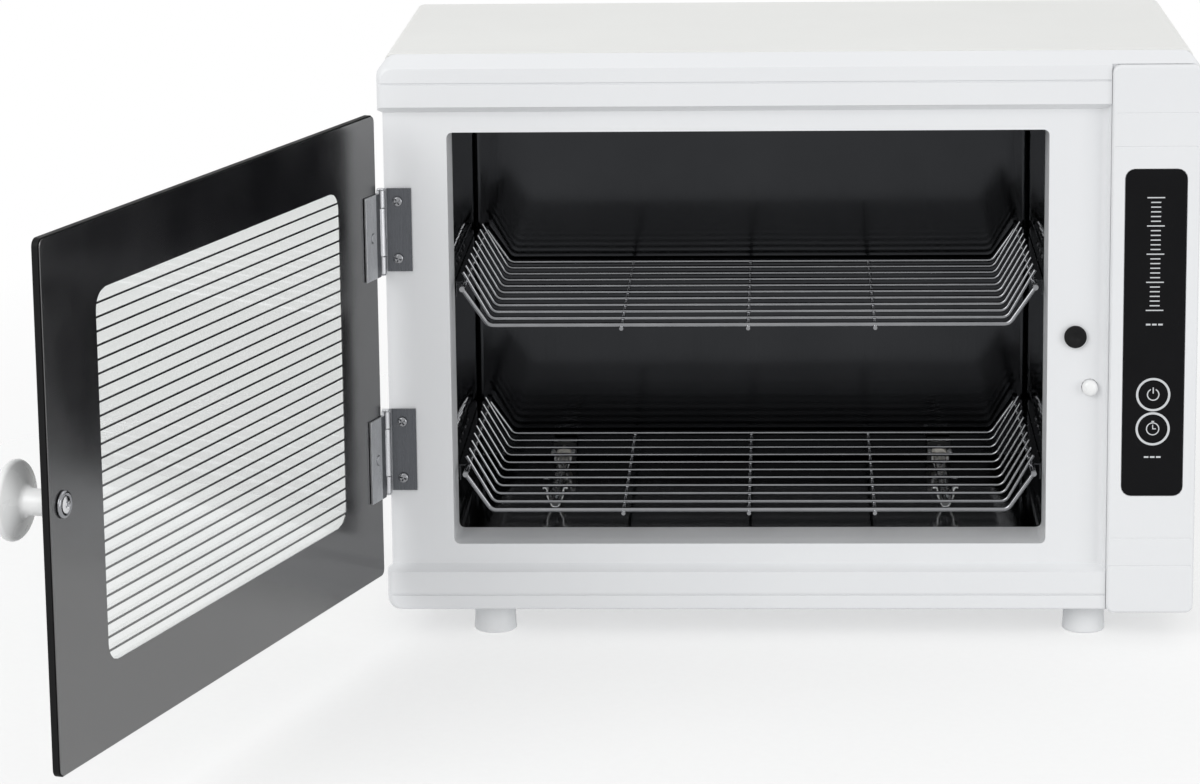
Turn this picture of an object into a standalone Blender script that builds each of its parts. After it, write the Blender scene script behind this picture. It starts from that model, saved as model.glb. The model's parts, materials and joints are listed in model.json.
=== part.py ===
"""A countertop ultraviolet sterilizer cabinet: a folded sheet housing with a moulded front, a polished
steel chamber with two wire shelves, a glass door on clamp hinges and a control strip on the right.

Metres, +Z up, front towards -Y. The origin is the middle of the base pan's underside. Depths are
measured from the face of the two front bands towards the back, and the door stands open, as it is
photographed, about 18 degrees past square."""

import math

import bmesh
import bpy
from mathutils import Matrix, Vector

# Cabinet
CABINET_WIDTH = 0.430
CABINET_DEPTH = 0.207
CABINET_HEIGHT = 0.3004
HALF_WIDTH = CABINET_WIDTH / 2
GAP = 0.0003
OVERRUN = 0.004
SMOOTH_DEG = 35

# Folded sheet housing
SHELL_SHEET = 0.001
SHELL_SIDE_INSET = 0.004
SHELL_BEND_RADIUS = 0.004
SHELL_FOOT_CLEARANCE = 0.0006
PAN_SHEET = 0.0012
PAN_FLANGE = 0.013
BEAD_FOOT_MARGIN = 0.029
BEAD_END_MARGIN = 0.0485
BEAD_CORNER_RADIUS = 0.008
BEAD_WIDTH = 0.004
BEAD_DEPTH = 0.0006
BACK_SHEET = 0.0012
BACK_INSET = 0.0013
BACK_FLANGE = 0.010

# Moulded front
FASCIA_TOP_STEP = 0.0004
FASCIA_HEIGHT = CABINET_HEIGHT - FASCIA_TOP_STEP
FASCIA_DEPTH = 0.008
FASCIA_WALL = 0.0025
FASCIA_CORNER_RADIUS = 0.0065
FASCIA_EDGE_ROUND = 0.003
TOP_CHAMFER = 0.007
SKIRT_LENGTH = 0.010
SKIRT_WALL = 0.002
RECESS_BOTTOM = 0.021
TOP_BAND_HEIGHT = 0.0272
RECESS_TOP = FASCIA_HEIGHT - TOP_BAND_HEIGHT
RECESS_DEPTH = 0.006
RECESS_SLOPE = 0.0034
RECESS_FILLET = 0.005
OPENING_LEFT_MARGIN = 0.0359
OPENING_RIGHT_MARGIN = 0.0317
OPENING_TOP_MARGIN = 0.0143
OPENING_BOTTOM = 0.0352
OPENING_TOP = RECESS_TOP - OPENING_TOP_MARGIN
OPENING_RADIUS = 0.003
RETURN_DEPTH = 0.035
RETURN_WALL = 0.002
RETURN_LIP = 0.008
BAND_GROOVE_WIDTH = 0.0011
BAND_GROOVE_DEPTH = 0.0008
TOP_GROOVE_DROP = 0.015
TOP_GROOVE_Z = FASCIA_HEIGHT - TOP_GROOVE_DROP
BOTTOM_GROOVE_Z = 0.0085
BOSS_WALL = 0.002
BOSS_LENGTH = 0.006
LINER_STUD_OFFSET = 0.004

# Control strip
STRIP_WIDTH = 0.0464
STRIP_LEFT = HALF_WIDTH - STRIP_WIDTH
STRIP_PROUD = 0.0025
STRIP_SEAT_DEPTH = 0.0015
STRIP_TOP_DROP = 0.0066
STRIP_TOP = FASCIA_HEIGHT - STRIP_TOP_DROP
STRIP_BOTTOM = -0.001
STRIP_CORNER_RADIUS = 0.004
STRIP_EDGE_ROUND = 0.0016
STRIP_LINE_WIDTH = 0.0008
STRIP_LINE_DEPTH = 0.0003
STRIP_LINE_DROPS = (0.0253, 0.0430)
STRIP_LINE_RISES = (0.0260, 0.0410)
PANEL_SIDE_MARGIN = 0.0229
PANEL_X = HALF_WIDTH - PANEL_SIDE_MARGIN
PANEL_WIDTH = 0.032
PANEL_BOTTOM = 0.0636
PANEL_TOP_DROP = 0.0547
PANEL_TOP = STRIP_TOP - PANEL_TOP_DROP
PANEL_RADIUS = 0.005
PANEL_SHEET = 0.0008
PANEL_LEDGE = 0.0025
KEY_RADIUS = 0.0074
KEY_LIP_RADIUS = 0.0082
KEY_LIP = 0.0008
KEY_STEM_RADIUS = 0.0026
KEY_TRAVEL = 0.0006
KEY_RISES = {"key_upper": 0.0548, "key_lower": 0.0363}
DISPLAY_RISE = 0.0800
DISPLAY_WIDTH = 0.0245
DISPLAY_HEIGHT = 0.0190
BOARD_DEPTH = 0.0095
BOARD_SHEET = 0.0016
BOARD_WIDTH = 0.027
BOARD_MARGIN = 0.0095
BOARD_STUD_MARGIN = 0.005
TACT_SIZE = 0.006
TACT_HEIGHT = 0.0035
RELAY_WIDTH = 0.016
RELAY_HEIGHT = 0.019
RELAY_DEPTH = 0.0155
CAPACITOR_RADIUS = 0.005
CAPACITOR_PITCH = 0.015
CAPACITOR_HEIGHT = 0.014

# Polished chamber
LINER_SHEET = 0.0008
LINER_BACK_GAP = 0.006
LINER_BACK_DEPTH = CABINET_DEPTH - LINER_BACK_GAP
LINER_BEND_RADIUS = 0.003
LINER_FLANGE = 0.008

# Wire shelves
SHELF_FLOOR_RISES = {"upper_shelf": 0.1173, "lower_shelf": 0.0158}
SHELF_FRONT_DEPTH = 0.018
SHELF_BACK_GAP = 0.005
SHELF_BACK_DEPTH = LINER_BACK_DEPTH - SHELF_BACK_GAP
SHELF_WALL_GAP = 0.0050
SHELF_RISE = 0.0255
SHELF_RUN = 0.0146
RIM_HEIGHT_SHARE = 0.82
SHELF_BEND_RADIUS = 0.005
SHELF_WIRE_COUNT = 11
WIRE_RADIUS = 0.0010
FRAME_WIRE_RADIUS = 0.0013
RIM_WIRE_RADIUS = 0.0015
RIM_END = 0.002
CROSS_WIRE_RADIUS = 0.0011
CROSS_WIRE_PITCH = 0.0675
CROSS_WIRE_END = 0.002
WELD_SINK = 0.0004
RAIL_SHEET = 0.001
RAIL_LEG = 0.009
RAIL_FRONT_DEPTH = 0.0445
RAIL_BACK_MARGIN = 0.0025
RAIL_TAB_DEPTH = 0.095
RAIL_TAB_BACK_GAP = 0.021
RAIL_TAB_LENGTH = 0.008
RAIL_TAB_DROP = 0.005

# Lamps on the chamber floor
LAMP_WALL_MARGIN = 0.050
LAMP_RADIUS = 0.0035
LAMP_FRONT_DEPTH = 0.078
LAMP_BACK_GAP = 0.025
LAMP_BACK_DEPTH = LINER_BACK_DEPTH - LAMP_BACK_GAP
LAMP_BASE_RADIUS = 0.0045
LAMP_BASE_LENGTH = 0.008
CLIP_FRONT_DEPTH = 0.088
CLIP_BACK_GAP = 0.006
CLIP_BACK_DEPTH = LAMP_BACK_DEPTH - CLIP_BACK_GAP
CLIP_SHEET = 0.0005
CLIP_WIDTH = 0.008
CLIP_BASE = 0.0021
CLIP_BELLY = 0.0043
CLIP_NECK = 0.0036
CLIP_TIP = 0.0072
CLIP_BELLY_HEIGHT = 0.0066
CLIP_NECK_HEIGHT = 0.0095
CLIP_TIP_HEIGHT = 0.0110
SOCKET_WIDTH = 0.013
SOCKET_HEIGHT = 0.0125
SOCKET_LENGTH = 0.014
SOCKET_STEM_RADIUS = 0.004
SOCKET_STEM = 0.005
LEAD_RADIUS = 0.0013

# Ballast and supply inlet
BALLAST_SIDE_MARGIN = 0.039
BALLAST_X = HALF_WIDTH - BALLAST_SIDE_MARGIN
BALLAST_BACK_MARGIN = 0.089
BALLAST_DEPTH = CABINET_DEPTH - BALLAST_BACK_MARGIN
BALLAST_WIDTH = 0.034
BALLAST_LENGTH = 0.092
BALLAST_HEIGHT = 0.024
BALLAST_EAR = 0.010
BALLAST_EAR_SHEET = 0.0015
TAB_WIDTH = 0.010
TAB_REACH = 0.005
GLAND_SIDE_MARGIN = 0.043
GLAND_X = HALF_WIDTH - GLAND_SIDE_MARGIN
GLAND_Z = 0.034
GLAND_RADIUS = 0.0065
GLAND_HEAD_RADIUS = 0.0095
GLAND_HEAD = 0.004
GLAND_BODY = 0.012
CORD_BORE_RADIUS = 0.0035
VENT_SLOT_WIDTH = 0.036
VENT_SLOT_HEIGHT = 0.003
VENT_PITCH = 0.0075
VENT_COUNT = 9
VENT_DROP = 0.1204
VENT_BOTTOM_Z = CABINET_HEIGHT - VENT_DROP

# Door
HINGE_SIDE_INSET = 0.00125
HINGE_X = HINGE_SIDE_INSET - HALF_WIDTH
HINGE_DEPTH = -0.0011
HINGE_HEIGHT = 0.0445
HINGE_DROP = 0.0643
LOWER_HINGE_RISE = 0.0648
DOOR_OPEN_DEG = 108.05
BARREL_RADIUS = 0.0025
PIN_RADIUS = 0.0011
PIN_HEAD_RADIUS = 0.0021
PIN_HEAD = 0.0008
END_KNUCKLE = 0.009
KNUCKLE_GAP = 0.0005
LEAF_SHEET = 0.0012
LEAF_WIDTH = 0.0155
LEAF_SCREW_X = 0.0082
LEAF_SCREW_SPREAD = 0.0153
PANE_LEFT = 0.0106
PANE_STRIP_GAP = 0.0045
PANE_RIGHT = STRIP_LEFT - HINGE_X - PANE_STRIP_GAP
PANE_BOTTOM_GAP = 0.0018
PANE_BOTTOM = RECESS_BOTTOM + PANE_BOTTOM_GAP
PANE_TOP_GAP = 0.0016
PANE_TOP = RECESS_TOP - PANE_TOP_GAP
PANE_RADIUS = 0.004
PANE_STACK = 0.004
GLASS_SHEET = 0.0032
PRINT_SHEET = 0.0005
PRINT_MARGIN = 0.0006
WINDOW_LEFT_MARGIN = 0.0471
WINDOW_LEFT = PANE_LEFT + WINDOW_LEFT_MARGIN
WINDOW_RIGHT_MARGIN = 0.05095
WINDOW_RIGHT = PANE_RIGHT - WINDOW_RIGHT_MARGIN
WINDOW_BOTTOM_MARGIN = 0.0397
WINDOW_BOTTOM = PANE_BOTTOM + WINDOW_BOTTOM_MARGIN
WINDOW_TOP_MARGIN = 0.0327
WINDOW_TOP = PANE_TOP - WINDOW_TOP_MARGIN
WINDOW_RADIUS = 0.010
WINDOW_LINES = 26
WINDOW_LINE_HEIGHT = 0.0009
CLAMP_END = 0.027
CLAMP_SCREW_X = 0.0185
CLAMP_SCREW_RADIUS = 0.0025
CLAMP_SCREW_PROUD = 0.0005
KNOB_EDGE_MARGIN = 0.0126
KNOB_X = PANE_RIGHT - KNOB_EDGE_MARGIN
KNOB_LIFT = 0.001
KNOB_Z = (PANE_BOTTOM + PANE_TOP) / 2 + KNOB_LIFT
KNOB_RADIUS = 0.0188
KNOB_HEIGHT = 0.025
KNOB_DOME = 0.0026
KNOB_EDGE_ROUND = 0.0022
KNOB_BACK_SLANT = 0.0030
KNOB_NECK_ROUND = 0.0030
KNOB_STEM_RADIUS = 0.0062
KNOB_SCREW_RADIUS = 0.002
KNOB_SCREW_LENGTH = 0.018
KNOB_BORE_FLOOR = 0.003
WASHER_RADIUS = 0.0065
WASHER_HEIGHT = 0.0015
WASHER_CUP_RADIUS = 0.0046
WASHER_CUP_FLOOR = 0.0003
STRIKE_DOME = 0.0006

# Catch magnet and door switch
MAGNET_RADIUS = 0.0059
MAGNET_SHANK_RADIUS = 0.0042
MAGNET_SHANK = 0.010
SWITCH_SIDE_MARGIN = 0.0092
SWITCH_X = STRIP_LEFT - SWITCH_SIDE_MARGIN
SWITCH_DROP = 0.0273
SWITCH_Z = KNOB_Z - SWITCH_DROP
PLUNGER_RADIUS = 0.0042
PLUNGER_PROUD = 0.0048
PLUNGER_TRAVEL = 0.003
PLUNGER_LIP = 0.0008
PLUNGER_LIP_SHEET = 0.0008
SWITCH_WALL = 0.0012
SWITCH_LENGTH = 0.016

# Feet and screws
FOOT_SIDE_MARGIN = 0.056
FOOT_X = HALF_WIDTH - FOOT_SIDE_MARGIN
FOOT_FRONT_DEPTH = 0.025
FOOT_BACK_MARGIN = 0.027
FOOT_RADIUS = 0.0115
FOOT_TOP_RADIUS = 0.0105
FOOT_HEIGHT = 0.017
FOOT_EDGE_ROUND = 0.0015
FOOT_WELL_RADIUS = 0.0055
FOOT_WELL_DEPTH = 0.010
SCREW_RADIUS = 0.0014
SCREW_HEAD_RADIUS = 0.0027
SCREW_HEAD = 0.0015
SCREW_LENGTH = 0.009
FRONT_SCREW_Z = 0.012
REAR_SCREW_DROP = 0.0154
REAR_SCREW_Z = CABINET_HEIGHT - REAR_SCREW_DROP
STUD_HEAD_RADIUS = 0.0026
STUD_HEAD = 0.0012

# Shares, and how finely rounds are stepped
ROUND_HEAD_SHARE = 0.6
TAPER_SHARE = 0.8
KEY_EDGE_SHARE = 0.35
BRANCH_SHARE = 0.8
PLUNGER_DOME_SHARE = 0.5
ROUND_PROFILE_SHARE = 0.5
ROUND_SIDES = 28
FOOT_SIDES = 16
EDGE_STEPS = 3
KNOB_EDGE_STEPS = 6
SMALL_SIDES = 12
VENT_STEPS = 2
CORNER_STEPS = 2
SCREW_SIDES = 10
WIRE_SIDES = 6
RIM_SIDES = 8
ARC_STEPS = 4
WIRE_BEND_STEPS = 3

# Places that follow from the sizes above
FRONT_Y = -CABINET_DEPTH / 2
SHELL_HALF = HALF_WIDTH - SHELL_SIDE_INSET
INNER_HALF = SHELL_HALF - SHELL_SHEET - GAP
INNER_TOP = CABINET_HEIGHT - SHELL_SHEET - GAP
BACK_FACE_DEPTH = CABINET_DEPTH - BACK_INSET
PLATE_BACK = RECESS_DEPTH + FASCIA_WALL
RETURN_END = RECESS_DEPTH + RETURN_DEPTH
OPENING_LEFT = OPENING_LEFT_MARGIN - HALF_WIDTH
OPENING_RIGHT = STRIP_LEFT - OPENING_RIGHT_MARGIN
CHAMBER_X = (OPENING_LEFT + OPENING_RIGHT) / 2
CHAMBER_HALF = (OPENING_RIGHT - OPENING_LEFT) / 2
HINGE_Y = FRONT_Y + HINGE_DEPTH
KNOB_WORLD_X = HINGE_X + KNOB_X
TIP_HALF = CHAMBER_HALF - SHELF_WALL_GAP
FLOOR_HALF = TIP_HALF - SHELF_RUN
SHELF_SLOPE = math.hypot(SHELF_RISE, SHELF_RUN)
RIM_OFFSET = WIRE_RADIUS + RIM_WIRE_RADIUS - WELD_SINK
RIM_RUN = RIM_HEIGHT_SHARE * SHELF_RUN + RIM_OFFSET * SHELF_RISE / SHELF_SLOPE
RIM_RISE = RIM_HEIGHT_SHARE * SHELF_RISE - RIM_OFFSET * SHELF_RUN / SHELF_SLOPE
RIM_HALF = FLOOR_HALF + RIM_RUN
RIM_SLOPE = math.hypot(RIM_RISE, RIM_RUN)
LAMP_OFFSET = CHAMBER_HALF - LAMP_WALL_MARGIN
BEAD_REACH_X = FOOT_X - BEAD_FOOT_MARGIN
BEAD_REACH_Y = CABINET_DEPTH / 2 - BEAD_END_MARGIN
KEY_HEIGHTS = {name: PANEL_BOTTOM + rise for name, rise in KEY_RISES.items()}
DISPLAY_Z = PANEL_BOTTOM + DISPLAY_RISE
SHELF_FLOOR_HEIGHTS = {name: OPENING_BOTTOM + rise for name, rise in SHELF_FLOOR_RISES.items()}
HINGE_HEIGHTS = {"upper": PANE_TOP - HINGE_DROP, "lower": PANE_BOTTOM + LOWER_HINGE_RISE}
PANE_FACE = PANE_STACK / 2
KNOB_BORE = KNOB_SCREW_RADIUS + GAP
CUP_SLOPE = (WASHER_CUP_RADIUS - KNOB_BORE) / (WASHER_HEIGHT - WASHER_CUP_FLOOR)
WASHER_TOP = PANE_FACE + GAP + WASHER_HEIGHT
MAGNET_PROUD = RECESS_DEPTH - HINGE_DEPTH - WASHER_TOP - STRIKE_DOME - GAP
BARREL_BORE = PIN_RADIUS + GAP
LEAF_NEAR = RECESS_DEPTH - HINGE_DEPTH - GAP - LEAF_SHEET


def depth(distance):
    """World y of a place that lies this far behind the face of the front bands."""
    return FRONT_Y + distance


def make_material(name, colour, roughness, metallic=0.0, transmission=0.0):
    found = bpy.data.materials.new(name)
    found.use_nodes = True
    shader = found.node_tree.nodes["Principled BSDF"]
    shader.inputs["Base Color"].default_value = (*colour, 1.0)
    shader.inputs["Roughness"].default_value = roughness
    shader.inputs["Metallic"].default_value = metallic
    shader.inputs["Transmission Weight"].default_value = transmission
    found.diffuse_color = (*colour, 1.0)
    return found


def make_object(name, bm, finish=None, parent=None, location=(0, 0, 0)):
    """Turns a bmesh into an object with outward faces and smooth rounds."""
    bmesh.ops.recalc_face_normals(bm, faces=bm.faces[:])
    mesh = bpy.data.meshes.new(name)
    bm.to_mesh(mesh)
    bm.free()
    mesh.shade_smooth()
    mesh.set_sharp_from_angle(angle=math.radians(SMOOTH_DEG))
    if finish is not None:
        mesh.materials.append(finish)
    obj = bpy.data.objects.new(name, mesh)
    obj.parent = parent
    obj.location = location
    bpy.context.scene.collection.objects.link(obj)
    return obj


def make_pivot(name, location, turn=0.0):
    """An empty on a joint's axis, which carries the pieces that move with it."""
    pivot = bpy.data.objects.new(name, None)
    pivot.location = location
    pivot.rotation_euler = (0, 0, turn)
    bpy.context.scene.collection.objects.link(pivot)
    return pivot


def combine(obj, name, bm, operation="DIFFERENCE", location=(0, 0, 0)):
    """Cuts the bmesh's solids out of an object, adds them to it or keeps what they share."""
    tool = make_object(name, bm, parent=obj.parent, location=location)
    tool.hide_render = True
    tool.display_type = "WIRE"
    step = obj.modifiers.new(name, "BOOLEAN")
    step.operation = operation
    step.solver = "EXACT"
    step.object = tool
    return tool


def add_solid(bm, outline, plane, low, high):
    """Extrudes a closed outline of (u, v) points between two places along the plane's normal."""
    place = {
        "XZ": lambda u, v, w: (u, w, v),
        "YZ": lambda u, v, w: (w, u, v),
        "XY": lambda u, v, w: (u, v, w),
    }[plane]
    face = bm.faces.new([bm.verts.new(place(u, v, low)) for u, v in outline])
    grown = bmesh.ops.extrude_face_region(bm, geom=[face])["geom"]
    moved = [item for item in grown if isinstance(item, bmesh.types.BMVert)]
    bmesh.ops.translate(bm, verts=moved, vec=Vector(place(0, 0, high)) - Vector(place(0, 0, low)))


def add_box(bm, low, high):
    outline = ((low[0], low[2]), (high[0], low[2]), (high[0], high[2]), (low[0], high[2]))
    add_solid(bm, outline, "XZ", low[1], high[1])


def arc(centre, radius, start_deg, end_deg, steps=ARC_STEPS):
    angles = [math.radians(start_deg + (end_deg - start_deg) * step / steps) for step in range(steps + 1)]
    return [(centre[0] + radius * math.cos(a), centre[1] + radius * math.sin(a)) for a in angles]


def rounded_outline(left, right, bottom, top, radius, steps=ARC_STEPS):
    """A rectangle with round corners, anticlockwise from its lower right corner."""
    return (
        arc((right - radius, bottom + radius), radius, -90, 0, steps)
        + arc((right - radius, top - radius), radius, 0, 90, steps)
        + arc((left + radius, top - radius), radius, 90, 180, steps)
        + arc((left + radius, bottom + radius), radius, 180, 270, steps)
    )


def circle(x, z, radius, sides=SMALL_SIDES):
    return [
        (x + radius * math.cos(math.tau * i / sides), z + radius * math.sin(math.tau * i / sides))
        for i in range(sides)
    ]


def add_loft(bm, rings):
    """Joins rings of equal point counts into one closed skin."""
    loops = [[bm.verts.new(point) for point in ring] for ring in rings]
    for near, far in zip(loops, loops[1:]):
        for i, vert in enumerate(near):
            following = (i + 1) % len(near)
            bm.faces.new((vert, near[following], far[following], far[i]))
    bm.faces.new(loops[0])
    bm.faces.new(loops[-1])


def add_turned(bm, profile, centre, direction=(0, 0, 1), sides=SMALL_SIDES):
    """Spins a profile of (radius, height) points that starts and ends on the axis, or closes on itself."""
    turned = bmesh.new()
    verts = [turned.verts.new((radius, 0, height)) for radius, height in profile]
    edges = [turned.edges.new(pair) for pair in zip(verts, verts[1:])]
    bmesh.ops.spin(
        turned,
        geom=verts + edges,
        cent=(0, 0, 0),
        axis=(0, 0, 1),
        angle=math.tau,
        steps=sides,
        use_merge=True,
    )
    bmesh.ops.remove_doubles(turned, verts=turned.verts[:], dist=GAP / 100)
    turn = Vector(direction).to_track_quat("Z", "Y").to_matrix().to_4x4()
    bmesh.ops.transform(turned, matrix=Matrix.Translation(centre) @ turn, verts=turned.verts[:])
    mesh = bpy.data.meshes.new("turned")
    turned.to_mesh(mesh)
    turned.free()
    bm.from_mesh(mesh)
    bpy.data.meshes.remove(mesh)


def add_tube(bm, points, radius, sides=WIRE_SIDES):
    """Sweeps a round wire along points, square to the path, with closed ends."""
    points = [Vector(point) for point in points]
    start = (points[1] - points[0]).normalized()
    side = start.orthogonal().normalized()
    rings = []
    for i, point in enumerate(points):
        before = (point - points[i - 1]).normalized() if i else start
        after = (points[i + 1] - point).normalized() if i + 1 < len(points) else before
        along = (before + after).normalized()
        side = (side - along * side.dot(along)).normalized()
        across = along.cross(side)
        stretch = 1 / along.dot(after)
        bend = (after - before).normalized()
        ring = []
        for k in range(sides):
            angle = math.tau * k / sides
            offset = radius * (math.cos(angle) * side + math.sin(angle) * across)
            offset += bend * offset.dot(bend) * (stretch - 1)
            ring.append(point + offset)
        rings.append(ring)
    add_loft(bm, rings)


def build_shell(finish):
    """Top and two sides folded from one sheet, open at the front, the back and the bottom."""
    radius = SHELL_BEND_RADIUS
    line = [(SHELL_HALF, SHELL_FOOT_CLEARANCE)]
    line += arc((SHELL_HALF - radius, CABINET_HEIGHT - radius), radius, 0, 90)
    line += arc((radius - SHELL_HALF, CABINET_HEIGHT - radius), radius, 90, 180)
    line.append((-SHELL_HALF, SHELL_FOOT_CLEARANCE))
    bm = bmesh.new()
    front = [bm.verts.new((x, depth(FASCIA_DEPTH + GAP), z)) for x, z in line]
    edges = [bm.edges.new(pair) for pair in zip(front, front[1:])]
    grown = bmesh.ops.extrude_edge_only(bm, edges=edges)["geom"]
    moved = [item for item in grown if isinstance(item, bmesh.types.BMVert)]
    bmesh.ops.translate(bm, verts=moved, vec=(0, CABINET_DEPTH - FASCIA_DEPTH - GAP, 0))
    shell = make_object("outer_shell", bm, finish)
    if max(shell.data.polygons, key=lambda face: face.center.x).normal.x < 0:
        shell.data.flip_normals()
    thickness = shell.modifiers.new("sheet", "SOLIDIFY")
    thickness.thickness = SHELL_SHEET
    thickness.offset = -1
    thickness.use_even_offset = True
    holes = bmesh.new()
    add_side_holes(holes, "front")
    add_side_holes(holes, "rear")
    combine(shell, "shell_holes", holes)
    return shell


def side_screw_places():
    """The front pair holds the moulded front's skirt, the rear pair the back panel's flanges."""
    rows = {
        "front": (depth(FASCIA_DEPTH + SKIRT_LENGTH / 2), FRONT_SCREW_Z),
        "rear": (depth(BACK_FACE_DEPTH - BACK_FLANGE / 2), REAR_SCREW_Z),
    }
    sides = {"left": -SHELL_HALF, "right": SHELL_HALF}
    return {f"side_screw_{row}_{side}": (x, *rows[row]) for row in rows for side, x in sides.items()}


def add_side_holes(bm, row):
    for name, (x, y, z) in side_screw_places().items():
        if row in name:
            add_solid(bm, circle(y, z, SCREW_RADIUS + GAP, SCREW_SIDES), "YZ", x - OVERRUN, x + OVERRUN)


def foot_places():
    near = depth(FOOT_FRONT_DEPTH)
    far = depth(CABINET_DEPTH - FOOT_BACK_MARGIN)
    return {
        "foot_front_left": (-FOOT_X, near),
        "foot_front_right": (FOOT_X, near),
        "foot_back_left": (-FOOT_X, far),
        "foot_back_right": (FOOT_X, far),
    }


def ballast_screw_place():
    return (BALLAST_X, depth(BALLAST_DEPTH + BALLAST_LENGTH / 2 + BALLAST_EAR / 2))


def bead_outline(middle, reach):
    x = BEAD_REACH_X + reach
    y = BEAD_REACH_Y + reach
    return rounded_outline(-x, x, middle - y, middle + y, BEAD_CORNER_RADIUS + reach, CORNER_STEPS)


def add_bead(pan, name, operation, middle, half_width, levels):
    """A stiffening bead pressed into the pan round its middle: a ridge above and a groove below."""
    ring = bmesh.new()
    add_solid(ring, bead_outline(middle, half_width), "XY", *levels)
    bead = combine(pan, name, ring, operation)
    inside = bmesh.new()
    add_solid(inside, bead_outline(middle, -half_width), "XY", levels[0] - OVERRUN, levels[1] + OVERRUN)
    combine(bead, name + "_middle", inside)


def build_base_pan(finish):
    """The floor: three edges turned up inside the shell and a lanced tab for the ballast's front ear."""
    front = depth(FASCIA_DEPTH + SKIRT_LENGTH + GAP)
    back = depth(BACK_FACE_DEPTH - BACK_SHEET - GAP)
    bm = bmesh.new()
    add_box(bm, (-INNER_HALF, front, 0), (INNER_HALF, back, PAN_FLANGE))
    pan = make_object("base_pan", bm, finish)
    hollow = bmesh.new()
    inside = INNER_HALF - PAN_SHEET
    add_box(hollow, (-inside, front - OVERRUN, PAN_SHEET), (inside, back - PAN_SHEET, PAN_FLANGE + OVERRUN))
    combine(pan, "pan_hollow", hollow)
    ear = depth(BALLAST_DEPTH - BALLAST_LENGTH / 2 - BALLAST_EAR)
    above = PAN_SHEET + BALLAST_EAR_SHEET + 2 * GAP
    profile = (
        (ear - GAP - PAN_SHEET, PAN_SHEET / 2),
        (ear - GAP, PAN_SHEET / 2),
        (ear - GAP, above),
        (ear + TAB_REACH, above),
        (ear + TAB_REACH, above + PAN_SHEET),
        (ear - GAP - PAN_SHEET, above + PAN_SHEET),
    )
    tab = bmesh.new()
    add_solid(tab, profile, "YZ", BALLAST_X - TAB_WIDTH / 2, BALLAST_X + TAB_WIDTH / 2)
    combine(pan, "ballast_tab", tab, "UNION")
    middle = (front + back) / 2
    half = (BEAD_WIDTH + PAN_SHEET) / 2
    add_bead(pan, "bead_ridge", "UNION", middle, half, (PAN_SHEET / 2, PAN_SHEET + BEAD_DEPTH))
    add_bead(pan, "bead_groove", "DIFFERENCE", middle, BEAD_WIDTH / 2, (-OVERRUN, BEAD_DEPTH))
    holes = bmesh.new()
    for x, y in (*foot_places().values(), ballast_screw_place()):
        add_solid(holes, circle(x, y, SCREW_RADIUS + GAP, SCREW_SIDES), "XY", -OVERRUN, PAN_SHEET + OVERRUN)
    combine(pan, "pan_holes", holes)
    return pan


def build_back_panel(finish):
    """A flat sheet with its sides and top turned forward, vents by the electronics and the cord's hole."""
    face = depth(BACK_FACE_DEPTH)
    bm = bmesh.new()
    low = PAN_FLANGE + GAP
    radius = SHELL_BEND_RADIUS
    outline = [(-INNER_HALF, low), (INNER_HALF, low)]
    outline += arc((INNER_HALF - radius, INNER_TOP - radius), radius, 0, 90)
    outline += arc((radius - INNER_HALF, INNER_TOP - radius), radius, 90, 180)
    add_solid(bm, outline, "XZ", face - BACK_FLANGE, face)
    panel = make_object("back_panel", bm, finish)
    tail = bmesh.new()
    add_box(tail, (-INNER_HALF, face - BACK_SHEET, GAP), (INNER_HALF, face, low + BACK_SHEET))
    combine(panel, "panel_tail", tail, "UNION")
    hollow = bmesh.new()
    inside = INNER_HALF - BACK_SHEET
    add_box(
        hollow,
        (-inside, face - BACK_FLANGE - OVERRUN, low - OVERRUN),
        (inside, face - BACK_SHEET, INNER_TOP - BACK_SHEET),
    )
    combine(panel, "panel_hollow", hollow)
    cuts = bmesh.new()
    vent_x = (STRIP_LEFT + INNER_HALF) / 2 - BACK_FLANGE / 2
    for row in range(VENT_COUNT):
        z = VENT_BOTTOM_Z + row * VENT_PITCH
        half = VENT_SLOT_HEIGHT / 2
        left = vent_x - VENT_SLOT_WIDTH / 2
        right = vent_x + VENT_SLOT_WIDTH / 2
        slot = rounded_outline(left, right, z - half, z + half, half - GAP, VENT_STEPS)
        add_solid(cuts, slot, "XZ", face - BACK_SHEET - OVERRUN, face + OVERRUN)
    hole = circle(GLAND_X, GLAND_Z, GLAND_RADIUS + GAP)
    add_solid(cuts, hole, "XZ", face - BACK_SHEET - OVERRUN, face + OVERRUN)
    add_side_holes(cuts, "rear")
    combine(panel, "panel_cuts", cuts)
    return panel


def fascia_ring(distance, side, top, bottom):
    half = HALF_WIDTH - side
    outline = rounded_outline(-half, half, bottom, FASCIA_HEIGHT - top, FASCIA_CORNER_RADIUS)
    return [(x, depth(distance), z) for x, z in outline]


def build_fascia(finish):
    """The moulded front: two bands round a sunk door seat, a lined opening and a skirt in the shell."""
    fascia = fascia_block(finish)
    hollow_fascia(fascia)
    cut_door_seat(fascia)
    cut_strip_seat(fascia)
    add_opening_sleeve(fascia)
    add_fascia_bosses(fascia)
    cut_fascia_holes(fascia)
    return fascia


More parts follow.
